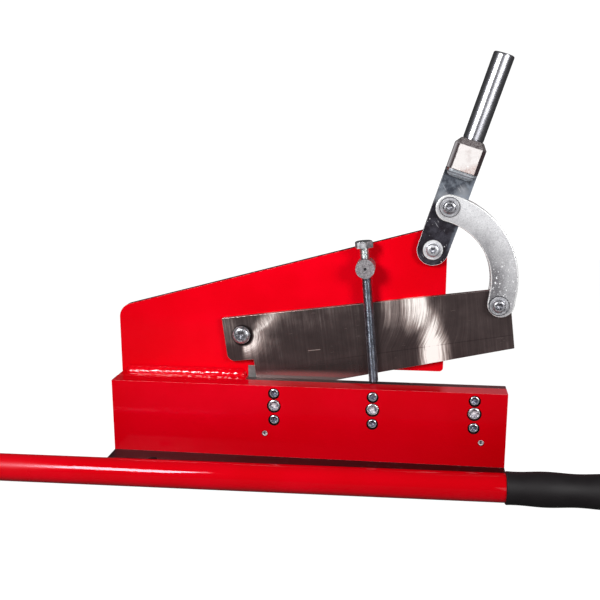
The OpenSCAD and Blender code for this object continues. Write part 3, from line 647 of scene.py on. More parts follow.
# %% [markdown]
# ## Marks on the link plate
# The link plate was plated on rolled steel, and it's blotched dark blue grey. Its plating was
# smeared pale where hands and the links rubbed it, burnt black in a line under the weld, and
# scratched across, and its rounded rim near the pivot gets a painted highlight. Plain noise would
# spread such marks all over, so each is held to its place.

# %% Link plate marks
def smeared(finish, colour, cloud):
    """Dull blue plating that is lighter towards the weld, and dark at the pivot, with a painted highlight
    on its rim there.
    """
    side, along = on_lever(finish)

    def smudge(middle_side, half_side, middle_along, half_along, ragged, outer, inner):
        """A ragged oval patch, from its middle and its half sizes."""
        across, above = (side - middle_side) / half_side, (along - middle_along) / half_along
        return finish.ramp(across ** 2.0 + above ** 2.0 + cloud * ragged, outer, inner)

    height = finish.ramp(along + cloud * 22.0 - 11.0, 38.0, 60.0)
    mist = finish.blend(finish.ramp(cloud, 0.36, 0.62), (0.060, 0.068, 0.088), (0.25, 0.28, 0.325))
    colour = finish.blend(height * 0.9, colour, mist)
    soot = finish.ramp(along + cloud * 13.0, 76.0, 79.5) * finish.ramp(along, 83.0, 80.0)
    colour = finish.blend(soot * 0.85, colour, (0.020, 0.022, 0.030))
    smear = finish.most(smudge(9.5, 10.0, 57.0, 13.0, 2.4, 2.2, 0.6),
                        smudge(-10.0, 9.0, 50.0, 9.0, 2.0, 2.0, 0.5))
    colour = finish.blend(smear * 0.8, colour, (0.42, 0.44, 0.48))
    rim = finish.ramp(side + cloud * 5.0, 14.0, 17.0) * finish.ramp(along, 0.0, 12.0)
    colour = finish.blend(rim * 0.6, colour, (0.22, 0.25, 0.30))
    scratch = finish.noise(9, detail=1, stretch=(0.06, 1, 1), turn=(0, 32, 0), seed=9)
    scratch = finish.ramp(scratch, 0.70, 0.73)
    scratch = scratch * finish.ramp(finish.noise(14, detail=1, seed=11), 0.5, 0.56)
    colour = finish.blend(scratch * 0.8, colour, (0.50, 0.50, 0.53))
    # Painted highlight along the plate's rounded rim near the pivot.
    lip_highlight = finish.worn * finish.ramp(along, 30.0, 4.0)
    return finish.blend(lip_highlight * 0.95, colour, (0.92, 0.82, 0.84))


print("link plate marks ready")

# %% [markdown]
# ## Marks on the links and the hold-down
# The links were blasted with sand before plating, so they're grainy, and shade is painted on
# them towards their inner side and low end. The stub's face has a centre punch mark, and the
# bolt's thread above the stub is painted paler as a highlight. A punched hollow could be cut in
# the mesh, but it's too small to show more than its dark middle, so that middle is painted dark
# as shade, a sum on its place like the other marks.

# %% Link and hold-down marks
link_centre, link_radius = (119.55, 188.96), 73.7


def sandblasted_and_shaded(finish, colour, cloud):
    """Fine grain on the links, with painted shade at the inside and the low end, and bright nicks there."""
    from_centre = finish.together(finish.x - link_centre[0], 0.0, finish.z - link_centre[1])
    across = finish.vector("LENGTH", from_centre, out="Value") - link_radius
    low = finish.ramp(finish.z + cloud * 18.0, 270.0, 172.0)
    inside = finish.ramp(across + cloud * 6.0 - 3.0, 10.0, -13.0)
    grit = finish.noise(0.9, detail=2, seed=14)
    # Painted shade: darker towards the links' low end and inner side.
    shade = finish.least(low * 0.56 + inside * (0.42 + 0.30 * low), 1.0)
    colour = finish.blend(shade, colour, (0.130, 0.125, 0.135))
    colour = finish.blend(finish.ramp(grit, 0.50, 0.32) * 0.34, colour, (0.12, 0.12, 0.13))
    colour = finish.blend(finish.ramp(grit, 0.56, 0.68) * 0.22, colour, (0.80, 0.80, 0.82))
    nicks = finish.ramp(finish.noise(2.0, detail=3, seed=15), 0.64, 0.70)
    nicks = nicks * finish.ramp(finish.z, 218.0, 195.0)
    return finish.blend(nicks * 0.9, colour, (0.98, 0.98, 1.0))


def punched(finish, colour, cloud):
    """A hollow where the stub's face was centre punched, its middle painted dark as shade."""
    spot = middle("hold_down_washer") / MM
    from_spot = finish.together(finish.x - spot.x, 0.0, finish.z - spot.z)
    away = finish.vector("LENGTH", from_spot, out="Value")
    hollow = finish.ramp(away, 1.7, 1.2) * finish.ramp(finish.y, 1.5, 0.5)
    return finish.blend(hollow, colour, (0.02, 0.02, 0.025))


def thread_highlight(finish, colour, cloud):
    """Painted highlight: the hold-down's thread is painted paler above its stub."""
    return finish.blend(finish.ramp(finish.z, 206.0, 214.0) * 0.8, colour, (0.74, 0.80, 0.78))


print("link and hold-down marks ready")

# %% [markdown]
# ## Every plating on the tool
# No two batches of screws are plated alike. The front bolts are dark and cloudy, the washers
# light and dull, the set screws warm and pale. Writing a graph for each would repeat the same
# lines many times, so each batch calls the one finish with its own two colours, cloud size,
# speck size, gloss and seed. The bare block, its weld, the guide and the bronze use it too.

# %% Platings
# The links' light rims are partly a painted highlight.
link_zinc = zinc("link_zinc", (0.56, 0.56, 0.575), (0.66, 0.66, 0.675), 11, 2.4, 0.42, 1, (0.30, 0.65),
                 metal=0.30, rub=1.0, rim_metal=0.45, rim_gloss=0.10, change=sandblasted_and_shaded)
# The link washers' dark rims are painted shade.
link_washer = zinc("link_washer_zinc", (0.42, 0.42, 0.45), (0.74, 0.74, 0.77), 3, 1.5, 0.28, 2,
                   metal=0.75, rub=1.0, rim=(0.08, 0.08, 0.10), rim_metal=1.0)
washer_zinc = zinc("washer_zinc", (0.55, 0.55, 0.58), (0.85, 0.85, 0.87), 4, 1.5, 0.32, 2, metal=0.55)
screw_zinc = zinc("screw_zinc", (0.50, 0.51, 0.55), (0.82, 0.82, 0.86), 5, 1.5, 0.26, 2, metal=0.75)
head_zinc = zinc("head_zinc", (0.26, 0.27, 0.30), (0.80, 0.80, 0.83), 4.5, 1.5, 0.26, 2, (0.40, 0.62),
                 metal=0.92)
# The front bolts' dark rims are painted shade on the heads' flanks.
bolt_zinc = zinc("bolt_zinc", (0.20, 0.20, 0.22), (0.66, 0.66, 0.70), 2.2, 1.5, 0.18, 13, (0.42, 0.60),
                 metal=0.75, rim=(0.10, 0.10, 0.12), well=0.35)
# The jack and clamp screws' light rims are partly a painted highlight.
jack_zinc = zinc("jack_zinc", (0.12, 0.13, 0.20), (0.84, 0.84, 0.92), 1.1, 1.2, 0.22, 9, (0.46, 0.58),
                 metal=0.65, rub=0.5, rim_metal=0.7)
# The set screws' pale pink rims are a painted highlight.
rest_zinc = zinc("rest_zinc", (0.42, 0.38, 0.38), (0.98, 0.90, 0.90), 1.0, 1.2, 0.26, 15, (0.40, 0.52),
                 metal=0.25, rub=0.9, rim=(1.0, 0.84, 0.85), rim_metal=0.2, well=0.95)
clamp_zinc = zinc("clamp_zinc", (0.30, 0.32, 0.30), (0.95, 0.88, 0.93), 1.6, 1.2, 0.24, 10, (0.34, 0.52),
                  metal=0.4, rub=0.5, rim_metal=0.85)
mottled_zinc = zinc("mottled_zinc", (0.018, 0.014, 0.020), (0.075, 0.072, 0.092), 9, 2.4, 0.26, 3,
                    (0.38, 0.70), metal=0.7, rub=0.2, rim_metal=0.0, change=smeared)
stub_zinc = zinc("stub_zinc", (0.20, 0.18, 0.19), (0.45, 0.43, 0.45), 1.6, 1.4, 0.38, 4, (0.38, 0.62),
                 metal=0.9, change=punched)
weld_steel = zinc("weld_steel", (0.44, 0.48, 0.53), (0.78, 0.82, 0.87), 3, 2.0, 0.30, 5, metal=0.5,
                  rub=0.0, change=heat_tint)
block_steel = zinc("block_steel", (0.50, 0.45, 0.44), (0.64, 0.61, 0.60), 6, 2.6, 0.45, 6, (0.30, 0.55),
                   metal=0.2, rub=0.1, change=mill_scale)
guide_steel = zinc("guide_steel", (0.15, 0.15, 0.15), (0.23, 0.22, 0.22), 5, 2.6, 0.45, 11, metal=0.4,
                   rub=0.0)
thread_zinc = zinc("thread_zinc", (0.17, 0.19, 0.23), (0.32, 0.35, 0.40), 7, 2.0, 0.22, 7, change=thread_highlight)
dark_zinc = zinc("dark_zinc", (0.34, 0.35, 0.40), (0.64, 0.65, 0.70), 6, 2.0, 0.20, 7)
bronze = zinc("bearing_bronze", (0.36, 0.22, 0.09), (0.62, 0.42, 0.18), 6, 2.5, 0.30, 8)
print("zinc and weld finishes ready")

# %% [markdown]
# ## Polished rod
# The rod that the handle slips on is turned on a lathe and polished, so it's nearly a mirror
# with fine rings across it. Grooves in the mesh would need a great many faces for lines this
# fine. The rings are stretched noise instead, turned to lie across the leaning lever's axis.

# %% Rod finish
rod = Finish("turned_steel", Metallic=1.0)
rings = rod.noise(0.5, detail=3, stretch=(80, 80, 1), turn=(0, -lever_lean, 0))
tint = rod.noise(22, detail=3, seed=1)
colour = rod.blend(tint, (0.42, 0.42, 0.46), (0.57, 0.57, 0.61))
colour = rod.blend(rod.ramp(rings, 0.55, 0.75) * 0.35, colour, (0.40, 0.39, 0.39))
rod_steel = rod.done(Base_Color=colour, Roughness=0.19 + 0.12 * rings + 0.05 * tint,
                     Normal=rod.relief(rings, 0.006, 0.6))
print(rod_steel.name)

# %% [markdown]
# ## Rubber grip
# The grip is moulded from black rubber with a soft grain, and it's a little paler where its
# rims are rubbed. Plain black would look like a hole in the picture. A faint cloud in colour
# and gloss, and a fine bump, make it rubber.

# %% Grip finish
grip = Finish("grip_rubber", Specular_IOR_Level=0.22)
grain = grip.noise(0.7, detail=3)
cloud = grip.noise(18, detail=4, seed=1)
colour = grip.blend(cloud, (0.006, 0.0048, 0.0055), (0.012, 0.010, 0.011))
colour = grip.blend(grip.worn * 0.25, colour, (0.08, 0.08, 0.08))
grip_rubber = grip.done(Base_Color=colour, Roughness=0.42 + 0.2 * cloud,
                        Normal=grip.relief(grain, 0.08, 0.5))
print(grip_rubber.name)

# %% [markdown]
# ## White paper and a dim room
# In the photograph the paper is pure white, yet it hardly lights the tool from below. With
# real paper that takes lights of its own behind the tool. Here the paper and the room are white
# for the camera alone, and the tool meets dim paper and a dim room. The upright strip also has
# a pink glow that only the tool meets, for what is mirrored in the bar's top.

# %% Paper and room
paper_share, room_share, white_share = 0.12, 0.06, 1.10


def paper_white(name, glow):
    """Paper that is pure white for the camera, while the tool meets dim paper with a glow."""
    sheet = Finish(name, Roughness=0.9, Specular_IOR_Level=0.0, Emission_Strength=1.0)
    for_camera = sheet.add("ShaderNodeLightPath", out="Is Camera Ray")
    colour = sheet.blend(sheet.noise(300, detail=2), (paper_share,) * 3, (paper_share * 1.1,) * 3)
    return sheet.done(Base_Color=colour, Emission_Color=sheet.blend(for_camera, glow, (1.0, 1.0, 1.0)))


paper.data.materials.append(paper_white("floor_paper", (0.0, 0.0, 0.0)))
sweep.data.materials.append(paper_white("sweep_paper", (0.76, 0.24, 0.28)))

world = bpy.data.worlds.new("studio")
world.use_nodes = True
bpy.context.scene.world = world
room = Graph(world.node_tree)
backdrop = next(n for n in world.node_tree.nodes if n.type == "BACKGROUND")
for_camera = room.add("ShaderNodeLightPath", out="Is Camera Ray")
strength = room_share + for_camera * (white_share - room_share)
world.node_tree.links.new(strength.socket, backdrop.inputs["Strength"])
backdrop.inputs["Color"].default_value = (1, 1, 1, 1)
print("paper and room ready")

# %% [markdown]
# ## Hanging a piece on its body
# A finished mesh has to move with the right part of the tool, and it stands for one of the
# imported solids. Writing that out for forty pieces would hide what differs between them, so one
# function gives each its material, its body and the solid that it stands for.

# %% Showing a piece
def show(name, mesh, body, finish, slot, node):
    """Puts a finished mesh on its body, with its material and the solid that it stands for."""
    piece = bpy.data.objects.new(name, mesh)
    bpy.context.scene.collection.objects.link(piece)
    mesh.materials.clear()
    mesh.materials.append(finish)
    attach(piece, body)
    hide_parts(node)
    return piece


print("showing ready")

# %% [markdown]
# ## Easing the edges of flat pieces
# No sheared or sawn edge is razor sharp, and the thin bright line along an eased edge is what
# makes a plate look real. A bevel modifier would also ease what should stay sharp. The frame's
# solids are loose triangles, so a copy is merged, its flat faces are made one again, and only
# its outward corners are bevelled. The new narrow faces are marked as worn, and the walls of
# holes, with the eased mouths of given holes, are marked to be painted dark as shade. Weighted
# normals keep the wide faces flat.

# %% Bevelled copies
sharp_from, wall_depth, mouth_reach = math.radians(28), 1.2 * MM, 8.5 * MM


def evened(mesh):
    """A mesh with weighted normals, so that wide faces stay flat beside narrow ones."""
    holder = bpy.data.objects.new("evening", mesh)
    bpy.context.scene.collection.objects.link(holder)
    weigh = holder.modifiers.new("weigh", "WEIGHTED_NORMAL")
    weigh.keep_sharp = True
    seen_now = bpy.context.evaluated_depsgraph_get()
    done = bpy.data.meshes.new_from_object(holder.evaluated_get(seen_now))
    bpy.data.objects.remove(holder)
    return done


def eased(node, width, body, finish, slot, rounds=2, shaded_mouths=()):
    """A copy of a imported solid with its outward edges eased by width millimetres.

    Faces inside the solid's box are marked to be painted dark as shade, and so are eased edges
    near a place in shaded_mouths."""
    work = bmesh.new()
    work.from_mesh(nodes[node].data)
    worn, bored = (work.faces.layers.float.new(label) for label in ("worn", "bored"))
    bmesh.ops.remove_doubles(work, verts=work.verts, dist=2e-6)
    bmesh.ops.dissolve_limit(work, angle_limit=math.radians(0.5), verts=work.verts, edges=work.edges)
    sharp = [e for e in work.edges
             if len(e.link_faces) == 2 and e.is_convex and e.calc_face_angle() > sharp_from]
    made = bmesh.ops.bevel(work, geom=sharp, offset=width * MM, offset_type="OFFSET", segments=rounds,
                           profile=0.5, affect="EDGES", clamp_overlap=True)
    for face in made["faces"]:
        face[worn] = 1.0
    low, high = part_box(node)
    for face in work.faces:
        face.smooth = True
        spot = face.calc_center_median()
        at_mouth = face[worn] and any((spot - place).length < mouth_reach for place in shaded_mouths)
        if at_mouth or all(a + wall_depth < c < b - wall_depth for a, c, b in zip(low, spot, high)):
            face[bored] = 1.0
    mesh = bpy.data.meshes.new(node + "_eased")
    work.to_mesh(mesh)
    work.free()
    mesh.set_sharp_from_angle(angle=math.radians(50))
    piece = show(node + "_dressed", evened(mesh), body, finish, slot, node)
    print(piece.name, len(piece.data.polygons), "faces")


print("bevelled copies ready")

# %% [markdown]
# ## Where the bar's screws sit
# Three columns of screws hold and set the lower blade, each with one clamp screw between two
# jack screws, and two small set screws sit low on the bar. Their places could be typed in
# again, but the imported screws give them: the outermost screws touch the box of their set.

# %% Screw places
clamp_low, clamp_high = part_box("blade_clamp_screws")
jack_low, jack_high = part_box("blade_jack_screws")
rest_low, rest_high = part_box("rest_set_screws")
clamp_r, jack_r, rest_r = 6.2 * MM, 5 * MM, 3 * MM
column_gap = (clamp_high.x - clamp_low.x - 2 * clamp_r) / 2
columns = [clamp_low.x + clamp_r + i * column_gap for i in range(3)]
clamp_places = [Vector((x, clamp_low.y, (clamp_low.z + clamp_high.z) / 2)) for x in columns]
jack_places = [Vector((x, jack_low.y, z)) for x in columns
               for z in (jack_low.z + jack_r, jack_high.z - jack_r)]
rest_places = [Vector((x, rest_low.y, (rest_low.z + rest_high.z) / 2))
               for x in (rest_low.x + rest_r, rest_high.x - rest_r)]
print(len(clamp_places), "clamp,", len(jack_places), "jack and", len(rest_places), "set screws")

# %% [markdown]
# ## The frame's plates and bars
# Foot plate, bar, block, upright plate and ledge are cut from flat stock, and their packed
# solids already have the right outlines and holes. Drawing them again would only risk a
# mismatch, so each is an eased copy. The bar's holes are painted dark as shade from the mouth
# on, so the bar alone is told where its screws are.

# %% Plates and bars
for node, width, finish, slot, shaded_mouths in [
        ("foot_plate", 0.8, black_sheet, "black_enamel", ()),
        ("base_bar", 0.8, red_bar, "red_enamel", clamp_places + jack_places + rest_places),
        ("heel_block", 0.7, red_sheet, "red_enamel", ()),
        ("frame_plate", 0.8, red_sheet, "red_enamel", ()),
        ("blade_rest", 0.5, dark_zinc, "dull_zinc", ())]:
    eased(node, width, "frame", finish, slot, shaded_mouths=shaded_mouths)

# %% [markdown]
# ## The two blades
# Both blades are flat bars of tool steel. The lower one is clamped behind the bar. The upper
# one has a tab for its pivot, a step at the heel and a tapered cutting edge. Each gets its own
# ground finish: the bright bands of the upper blade are painted highlights where the lights
# catch it, and so are the bright wedges of its fan beside the pivot. The bare steel block behind
# the heel is eased here too, since it stands among them.

# %% Blades
blade_pivot = middle("blade_pivot_washer")
pivot_mm = (blade_pivot.x / MM, blade_pivot.z / MM)
upper_steel = ground_steel(
    "upper_blade_steel", pivot_mm, 7.4, seed=1, by_hand=True, painted_highlights=[
        (181, 14, 17, 38, 0.50, 0), (184.5, 8, 7, 26, 0.26, 0), (164, 24, 22, 48, 0.24, 0),
        (152, 18, 9, 34, 0.16, 0), (193, -40, 21, 56, 0.56, 0.08), (192.5, -38, 11, 28, 0.40, 0.10),
        (201, 2, 14, 30, 0.18, 0), (70, 24, 90, 34, 0.10, 0), (-14, 6, 16, 24, 0.22, 0)])
lower_steel = ground_steel("lower_blade_steel", pivot_mm, 0.0, seed=7)
for node, body, finish in [("upper_blade", "blade", upper_steel), ("lower_blade", "frame", lower_steel),
                           ("heel_guide", "frame", guide_steel)]:
    eased(node, 0.35, body, finish, "ground_steel")

# %% [markdown]
# ## Lever plate, block, links and stub
# The lever's link plate and the two curved links are laser cut straps with rolled-over rims,
# so their edges are eased more. The block is a sawn square bar with chamfered corners, softened
# by the grinder. The round stub of the hold-down is parted off a bar. All of them are eased
# copies with one more step in the bevel, because their rims catch the light.

# %% Lever and links
for node, width, body, finish, slot in [
        ("lever_plate", 0.9, "lever", mottled_zinc, "dull_zinc"),
        ("lever_block", 0.3, "lever", block_steel, "weld_steel"),
        ("front_link", 1.1, "links", link_zinc, "zinc_steel"),
        ("rear_link", 1.1, "links", link_zinc, "zinc_steel"),
        ("hold_down_stub", 0.7, "hold_down", stub_zinc, "zinc_steel")]:
    eased(node, width, body, finish, slot, rounds=3)

# %% [markdown]
# ## Hexagons and lobes
# A nut and a bolt head are hexagons, and the front bolts have six-lobed sockets. Cutting them
# out of round pieces with booleans leaves untidy faces. A radius that changes with the angle
# gives the same outlines, and turned-off corners are only the smaller of two radii.

# %% Outlines by their radius
def hexagon(flats):
    """Radius of a hexagon at an angle, by its width across the flats."""
    return lambda turn: flats / 2 / math.cos((turn + math.pi / 6) % (math.pi / 3) - math.pi / 6)


def six_lobes(outer, inner):
    """Radius of a six-lobed socket at an angle, by its two widths."""
    return lambda turn: (outer + inner) / 4 + (outer - inner) / 4 * math.cos(6 * turn)


def capped(shape, limit):
    """A shape whose corners are turned off at a radius."""
    return lambda turn: min(shape(turn), limit)


print("outlines ready")

# %% [markdown]
# ## Turned pieces
# Bolts, nuts, washers, the rod, the tube and the grip all come from a lathe or a mould. Spin
# tools could make them, but a stack of rings is simpler to read: each ring gives a radius and a
# height in millimetres, and either may be an outline. Two more rings on each long face keep the
# worn mark along its edges narrow.

# %% Stacked rings
def valued(item, turn):
    """A radius or height at an angle, whether it's a number or a function."""
    return item(turn) if callable(item) else item


def between(one, two, share):
    """A ring part of the way from one ring to the next."""
    return tuple((lambda turn, a=a, b=b: valued(a, turn) * (1 - share) + valued(b, turn) * share)
                 for a, b in zip(one, two))


def guarded(profile, loop, guard):
    """The profile with two more rings on each long face, guard millimetres from its ends."""
    full, beside_corner = [], 0.26
    for place, (one, two) in enumerate(zip(profile, profile[1:] + profile[:1])):
        full.append(one)
        if place == len(profile) - 1 and not loop:
            break
        ends = [Vector([valued(item, beside_corner) for item in ring]) for ring in (one, two)]
        gap = (ends[1] - ends[0]).length
        if gap > 3 * guard:
            full += [between(one, two, guard / gap), between(one, two, 1 - guard / gap)]
    return full


def stack(profile, steps=72, loop=False, guard=0.5, well=None):
    """A mesh in millimetres from a list of (radius, height), both allowed to be functions.

    A loop closes on itself, and any other profile is capped. What lies within a well (outer
    radius, inner radius, lowest, highest) is marked as sunk."""
    work = bmesh.new()
    turns = [2 * math.pi * i / steps for i in range(steps)]
    rows = [[work.verts.new((valued(r, t) * math.cos(t), valued(r, t) * math.sin(t), valued(h, t)))
             for t in turns] for r, h in guarded(profile, loop, guard)]
    for low, high in zip(rows, rows[1:] + (rows[:1] if loop else [])):
        for i in range(steps):
            j = (i + 1) % steps
            work.faces.new((low[i], low[j], high[j], high[i]))
    if not loop:
        work.faces.new(rows[0][::-1])
        work.faces.new(rows[-1])
    bmesh.ops.remove_doubles(work, verts=work.verts, dist=1e-4)
    bmesh.ops.recalc_face_normals(work, faces=work.faces)
    worn, sunk = (work.verts.layers.float.new(label) for label in ("worn", "sunk"))
    for edge in work.edges:
        if len(edge.link_faces) == 2 and edge.is_convex and edge.calc_face_angle() > math.radians(24):
            edge.verts[0][worn] = edge.verts[1][worn] = 1.0
    for vert in work.verts if well else ():
        if well[1] <= math.hypot(vert.co.x, vert.co.y) <= well[0] and well[2] <= vert.co.z <= well[3]:
            vert[sunk] = 1.0
    for face in work.faces:
        face.smooth = True
    mesh = bpy.data.meshes.new("stack")
    work.to_mesh(mesh)
    work.free()
    mesh.set_sharp_from_angle(angle=math.radians(32))
    return mesh


print("ring stacks ready")

# %% [markdown]
# ## Putting stacks in the tool
# A stack is drawn round an upright axis in millimetres, while most bolts of the tool lie from
# front to back. Each could be modelled lying down, but then every shape would need its place.
# One matrix turns, scales and places a stack, and several placed stacks become one piece.

# %% Placing stacks
def facing(x, y, z, towards):
    """Places a stack in the tool: its height runs to the front (-1) or to the back (1)."""
    turn = Matrix.Rotation(math.radians(90 if towards < 0 else -90), 4, "X")
    return Matrix.Translation((x, y, z)) @ turn @ Matrix.Scale(MM, 4)


def joined(name, parts):
    """One mesh from several (mesh, matrix) pairs."""
    work = bmesh.new()
    for mesh, place in parts:
        copy = mesh.copy()
        copy.transform(place)
        work.from_mesh(copy)
        bpy.data.meshes.remove(copy)
    whole = bpy.data.meshes.new(name)
    work.to_mesh(whole)
    work.free()
    return whole


def show_parts(name, parts, body, finish, slot, node):
    """Shows several (mesh, matrix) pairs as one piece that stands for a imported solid."""
    piece = show(name, joined(name, parts), body, finish, slot, node)
    print(name, len(parts), "made,", len(piece.data.polygons), "faces")


print("placing ready")

# %% [markdown]
# ## Washers, nuts and button bolts
# A washer is stamped, so its rims are rounded. A nut is a hexagon whose corners are turned off
# at both ends, and its thread's mouth is countersunk. A button bolt has a low dome with a
# six-lobed socket, and the last turns of its thread stand out of the nut. Plain rings are
# enough for those turns, since nobody can see that they don't climb.

# %% Fastener shapes
def washer(outer, inner, thick, rim=0.35):
    """A flat ring with rounded rims, by its two widths."""
    return stack([(inner / 2, rim), (inner / 2 + rim, 0), (outer / 2 - rim, 0), (outer / 2, rim),
                  (outer / 2, thick - rim), (outer / 2 - rim, thick), (inner / 2 + rim, thick),
                  (inner / 2, thick - rim)], loop=True, guard=0.4)


def nut(flats, hole, tall):
    """A hexagon nut from height 0 to tall."""
    side, corner, turned = hexagon(flats), flats / 2 / math.cos(math.pi / 6), flats / 2 * 0.95
    drop = (corner - turned) * math.tan(math.radians(30))
    ends = [(i / 4, turned + (corner - turned) * i / 4) for i in range(5)]
    rise = [(capped(side, r), drop * s) for s, r in ends]
    fall = [(capped(side, r), tall - drop * s) for s, r in reversed(ends)]
    mouth = 0.6
    return stack([(hole / 2 + mouth, 0), *rise, *fall, (hole / 2 + mouth, tall),
                  (hole / 2, tall - mouth), (hole / 2, mouth)], loop=True, guard=0.4)


def thread_turns(radius, low, high, pitch):
    """Rings that read as thread between two heights, from low to high."""
    turns, height, depth = [], low, pitch * 0.5
    while height + pitch <= high:
        turns += [(radius - depth, height + pitch * 0.1), (radius, height + pitch * 0.5),
                  (radius, height + pitch * 0.6), (radius - depth, height + pitch)]
        height += pitch
    return turns


def button_bolt(head, tall, shank, length, socket, pitch=1.25, threaded=12):
    """Dome towards +height with its seat at 0, shank down to -length."""
    lobes = six_lobes(socket, socket * 0.72)
    dome = [(head / 2 * (0.58 + 0.42 * math.cos(math.radians(a))),
             tall * (0.25 + 0.75 * math.sin(math.radians(a)))) for a in range(0, 91, 10)]
    rim = [(lambda t: lobes(t) + 0.25, tall), (lobes, tall - 0.25), (lobes, tall * 0.42)]
    floor = [(lambda t: lobes(t) * 0.6, tall * 0.40), (0, tall * 0.30)]
    thread = thread_turns(shank / 2, -length + 0.8, -length + threaded, pitch)
    below = [(0, -length), (shank / 2 - 0.8, -length), *thread,
             (shank / 2, -length + threaded + 0.6), (shank / 2, -0.3), (shank / 2, 0)]
    return stack([*below, (head / 2 - 0.3, 0), (head / 2, 0.3), *dome, *rim, *floor],
                 guard=0.45, well=(socket / 2 + 0.1, 0, tall * 0.2, tall - 0.2))


print("washer, nut and bolt shapes ready")

# %% [markdown]
# ## Pivot bolts
# Two pivots stand in the red plate, one for the blade and one for the lever, and two more join
# the curved links to lever and blade. Each has a button bolt in front. The places and lengths
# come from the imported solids, so nothing here has to be measured again.

# %% Pivot bolts
# Each pivot has a name, a body and a thread. Each head has a width, a height, a socket's width
# and a finish.
pivots = [("blade_pivot", "frame", 10), ("lever_pivot", "frame", 8), ("link_top", "links", 8),
          ("link_low", "links", 8)]
heads = [(18.5, 5.5, 9.0, bolt_zinc), (13.6, 4.6, 6.6, screw_zinc), (13.6, 4.6, 6.8, bolt_zinc),
         (13.2, 4.6, 6.6, bolt_zinc)]
for (prefix, body, shank), (head, tall, socket, finish) in zip(pivots, heads):
    front, back = (corner.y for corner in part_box(prefix + "_bolt"))
    at, seat = middle(prefix + "_bush"), front + tall * MM
    bolt = button_bolt(head, tall, shank, (back - seat) / MM, socket)
    show_parts(prefix + "_bolt_dressed", [(bolt, facing(at.x, seat, at.z, -1))], body, finish,
               "zinc_steel", prefix + "_bolt")

# %% [markdown]
# ## Bushes and washers
# A bronze bush inside each pivot carries the turning load, and washers keep the nuts and heads
# off the plates. All of them are rings, so one function makes every one of them from its place,
# its two widths and its two ends.

# %% Bushes and washers
def ring_piece(node, body, rings, finish, slot):
    """Washers or bushes: each ring is (place, outer, inner, front y, back y), y in metres."""
    parts = [(washer(outer, inner, (back - front) / MM), facing(at.x, front, at.z, 1))
             for at, outer, inner, front, back in rings]
    show_parts(node + "_dressed", parts, body, finish, slot, node)


for prefix, body, shank in pivots:
    low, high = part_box(prefix + "_bush")
    ring_piece(prefix + "_bush", body,
               [(middle(prefix + "_bush"), (high.x - low.x) / MM, shank + 0.1, low.y, high.y)],
               bronze, "bearing_bronze")

lever_at, top_at, low_at = (middle(node + "_bush") for node in ("lever_pivot", "link_top", "link_low"))
stub_at = middle("hold_down_washer")
thick = 1.6 * MM
plate_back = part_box("frame_plate")[1].y
washer_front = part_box("lever_pivot_washers")[0].y
ring_piece("lever_pivot_washers", "frame",
           [(lever_at, 19.4, 8.4, washer_front, washer_front + thick),
            (lever_at, 16, 8.4, plate_back, plate_back + thick)], washer_zinc, "zinc_steel")
low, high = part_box("blade_pivot_washer")
ring_piece("blade_pivot_washer", "frame", [(blade_pivot, 20, 10.4, low.y, high.y)],
           washer_zinc, "zinc_steel")
low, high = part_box("link_washers")
ring_piece("link_washers", "links",
           [(at, 19.4, 8.4, front, front + thick)
            for at in (top_at, low_at) for front in (low.y, high.y - thick)], link_washer, "zinc_steel")
low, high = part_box("hold_down_washer")
ring_piece("hold_down_washer", "hold_down", [(stub_at, 24, 12.4, low.y, high.y)],
           washer_zinc, "zinc_steel")

# %% [markdown]
# ## Nuts
# Behind the tool each bolt ends in a nut. The widths could be typed in one by one, but a nut's
# width follows its thread: 1.3 times the thread and 3 mm more is close to the common sizes, so
# only the thread is given here.

# %% Nuts
for node, body, places, thread in [
        ("blade_pivot_nut", "frame", [blade_pivot], 10), ("lever_pivot_nut", "frame", [lever_at], 8),
        ("link_nuts", "links", [top_at, low_at], 8), ("hold_down_nut", "hold_down", [stub_at], 12)]:
    low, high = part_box(node)
    shape = nut(1.3 * thread + 3, thread + 0.1, (high.y - low.y) / MM)
    show_parts(node + "_dressed", [(shape, facing(at.x, low.y, at.z, 1)) for at in places],
               body, screw_zinc, "zinc_steel", node)

# %% [markdown]
# ## Trees that grow shapes
# Three kinds of piece here follow a rule: the repeated screws, the weld beads and the long
# thread. Each could be drawn once and copied as a mesh, but a Geometry Nodes tree with named
# inputs keeps the rule and its sizes apart. The trees begin and end alike, so that part is
# written once.

# %% Tree helpers
def new_tree(name, **inputs):
    """The graph of an empty tree, and a function that reads one of its named inputs."""
    tree = bpy.data.node_groups.new(name, "GeometryNodeTree")
    for label, kind in inputs.items():
        tree.interface.new_socket(label, in_out="INPUT", socket_type="NodeSocket" + kind)
    tree.interface.new_socket("Geometry", in_out="OUTPUT", socket_type="NodeSocketGeometry")
    grow = Graph(tree)
    given = grow.add("NodeGroupInput").socket.node.outputs
    return grow, lambda label: Wire(grow, given[label])


def close_tree(grow, shape, finish):
    """Ends a tree: the shape becomes plain geometry and takes its finish."""
    shape = grow.add("GeometryNodeRealizeInstances", None, {"Geometry": shape})
    shape = grow.add("GeometryNodeSetMaterial", None, {"Geometry": shape, "Material": finish})
    grow.add("NodeGroupOutput", None, {"Geometry": shape})
    return grow.tree


def bent_grid(grow, grid, place):
    """A grid whose points are moved to a place and shaded smooth."""
    bent = grow.add("GeometryNodeSetPosition", None, {"Geometry": grid, "Position": place})
    return grow.add("GeometryNodeSetShadeSmooth", None, {"Geometry": bent})


print("tree helpers ready")

# %% [markdown]
# ## From a tree to a plain mesh
# The exported model can't keep a tree, so its result is turned into a plain mesh as soon as it
# has grown. Each input is set by the socket's identifier, because two sockets may share a name.
# The doubles along seams are merged, and then the faces are made to point outwards.

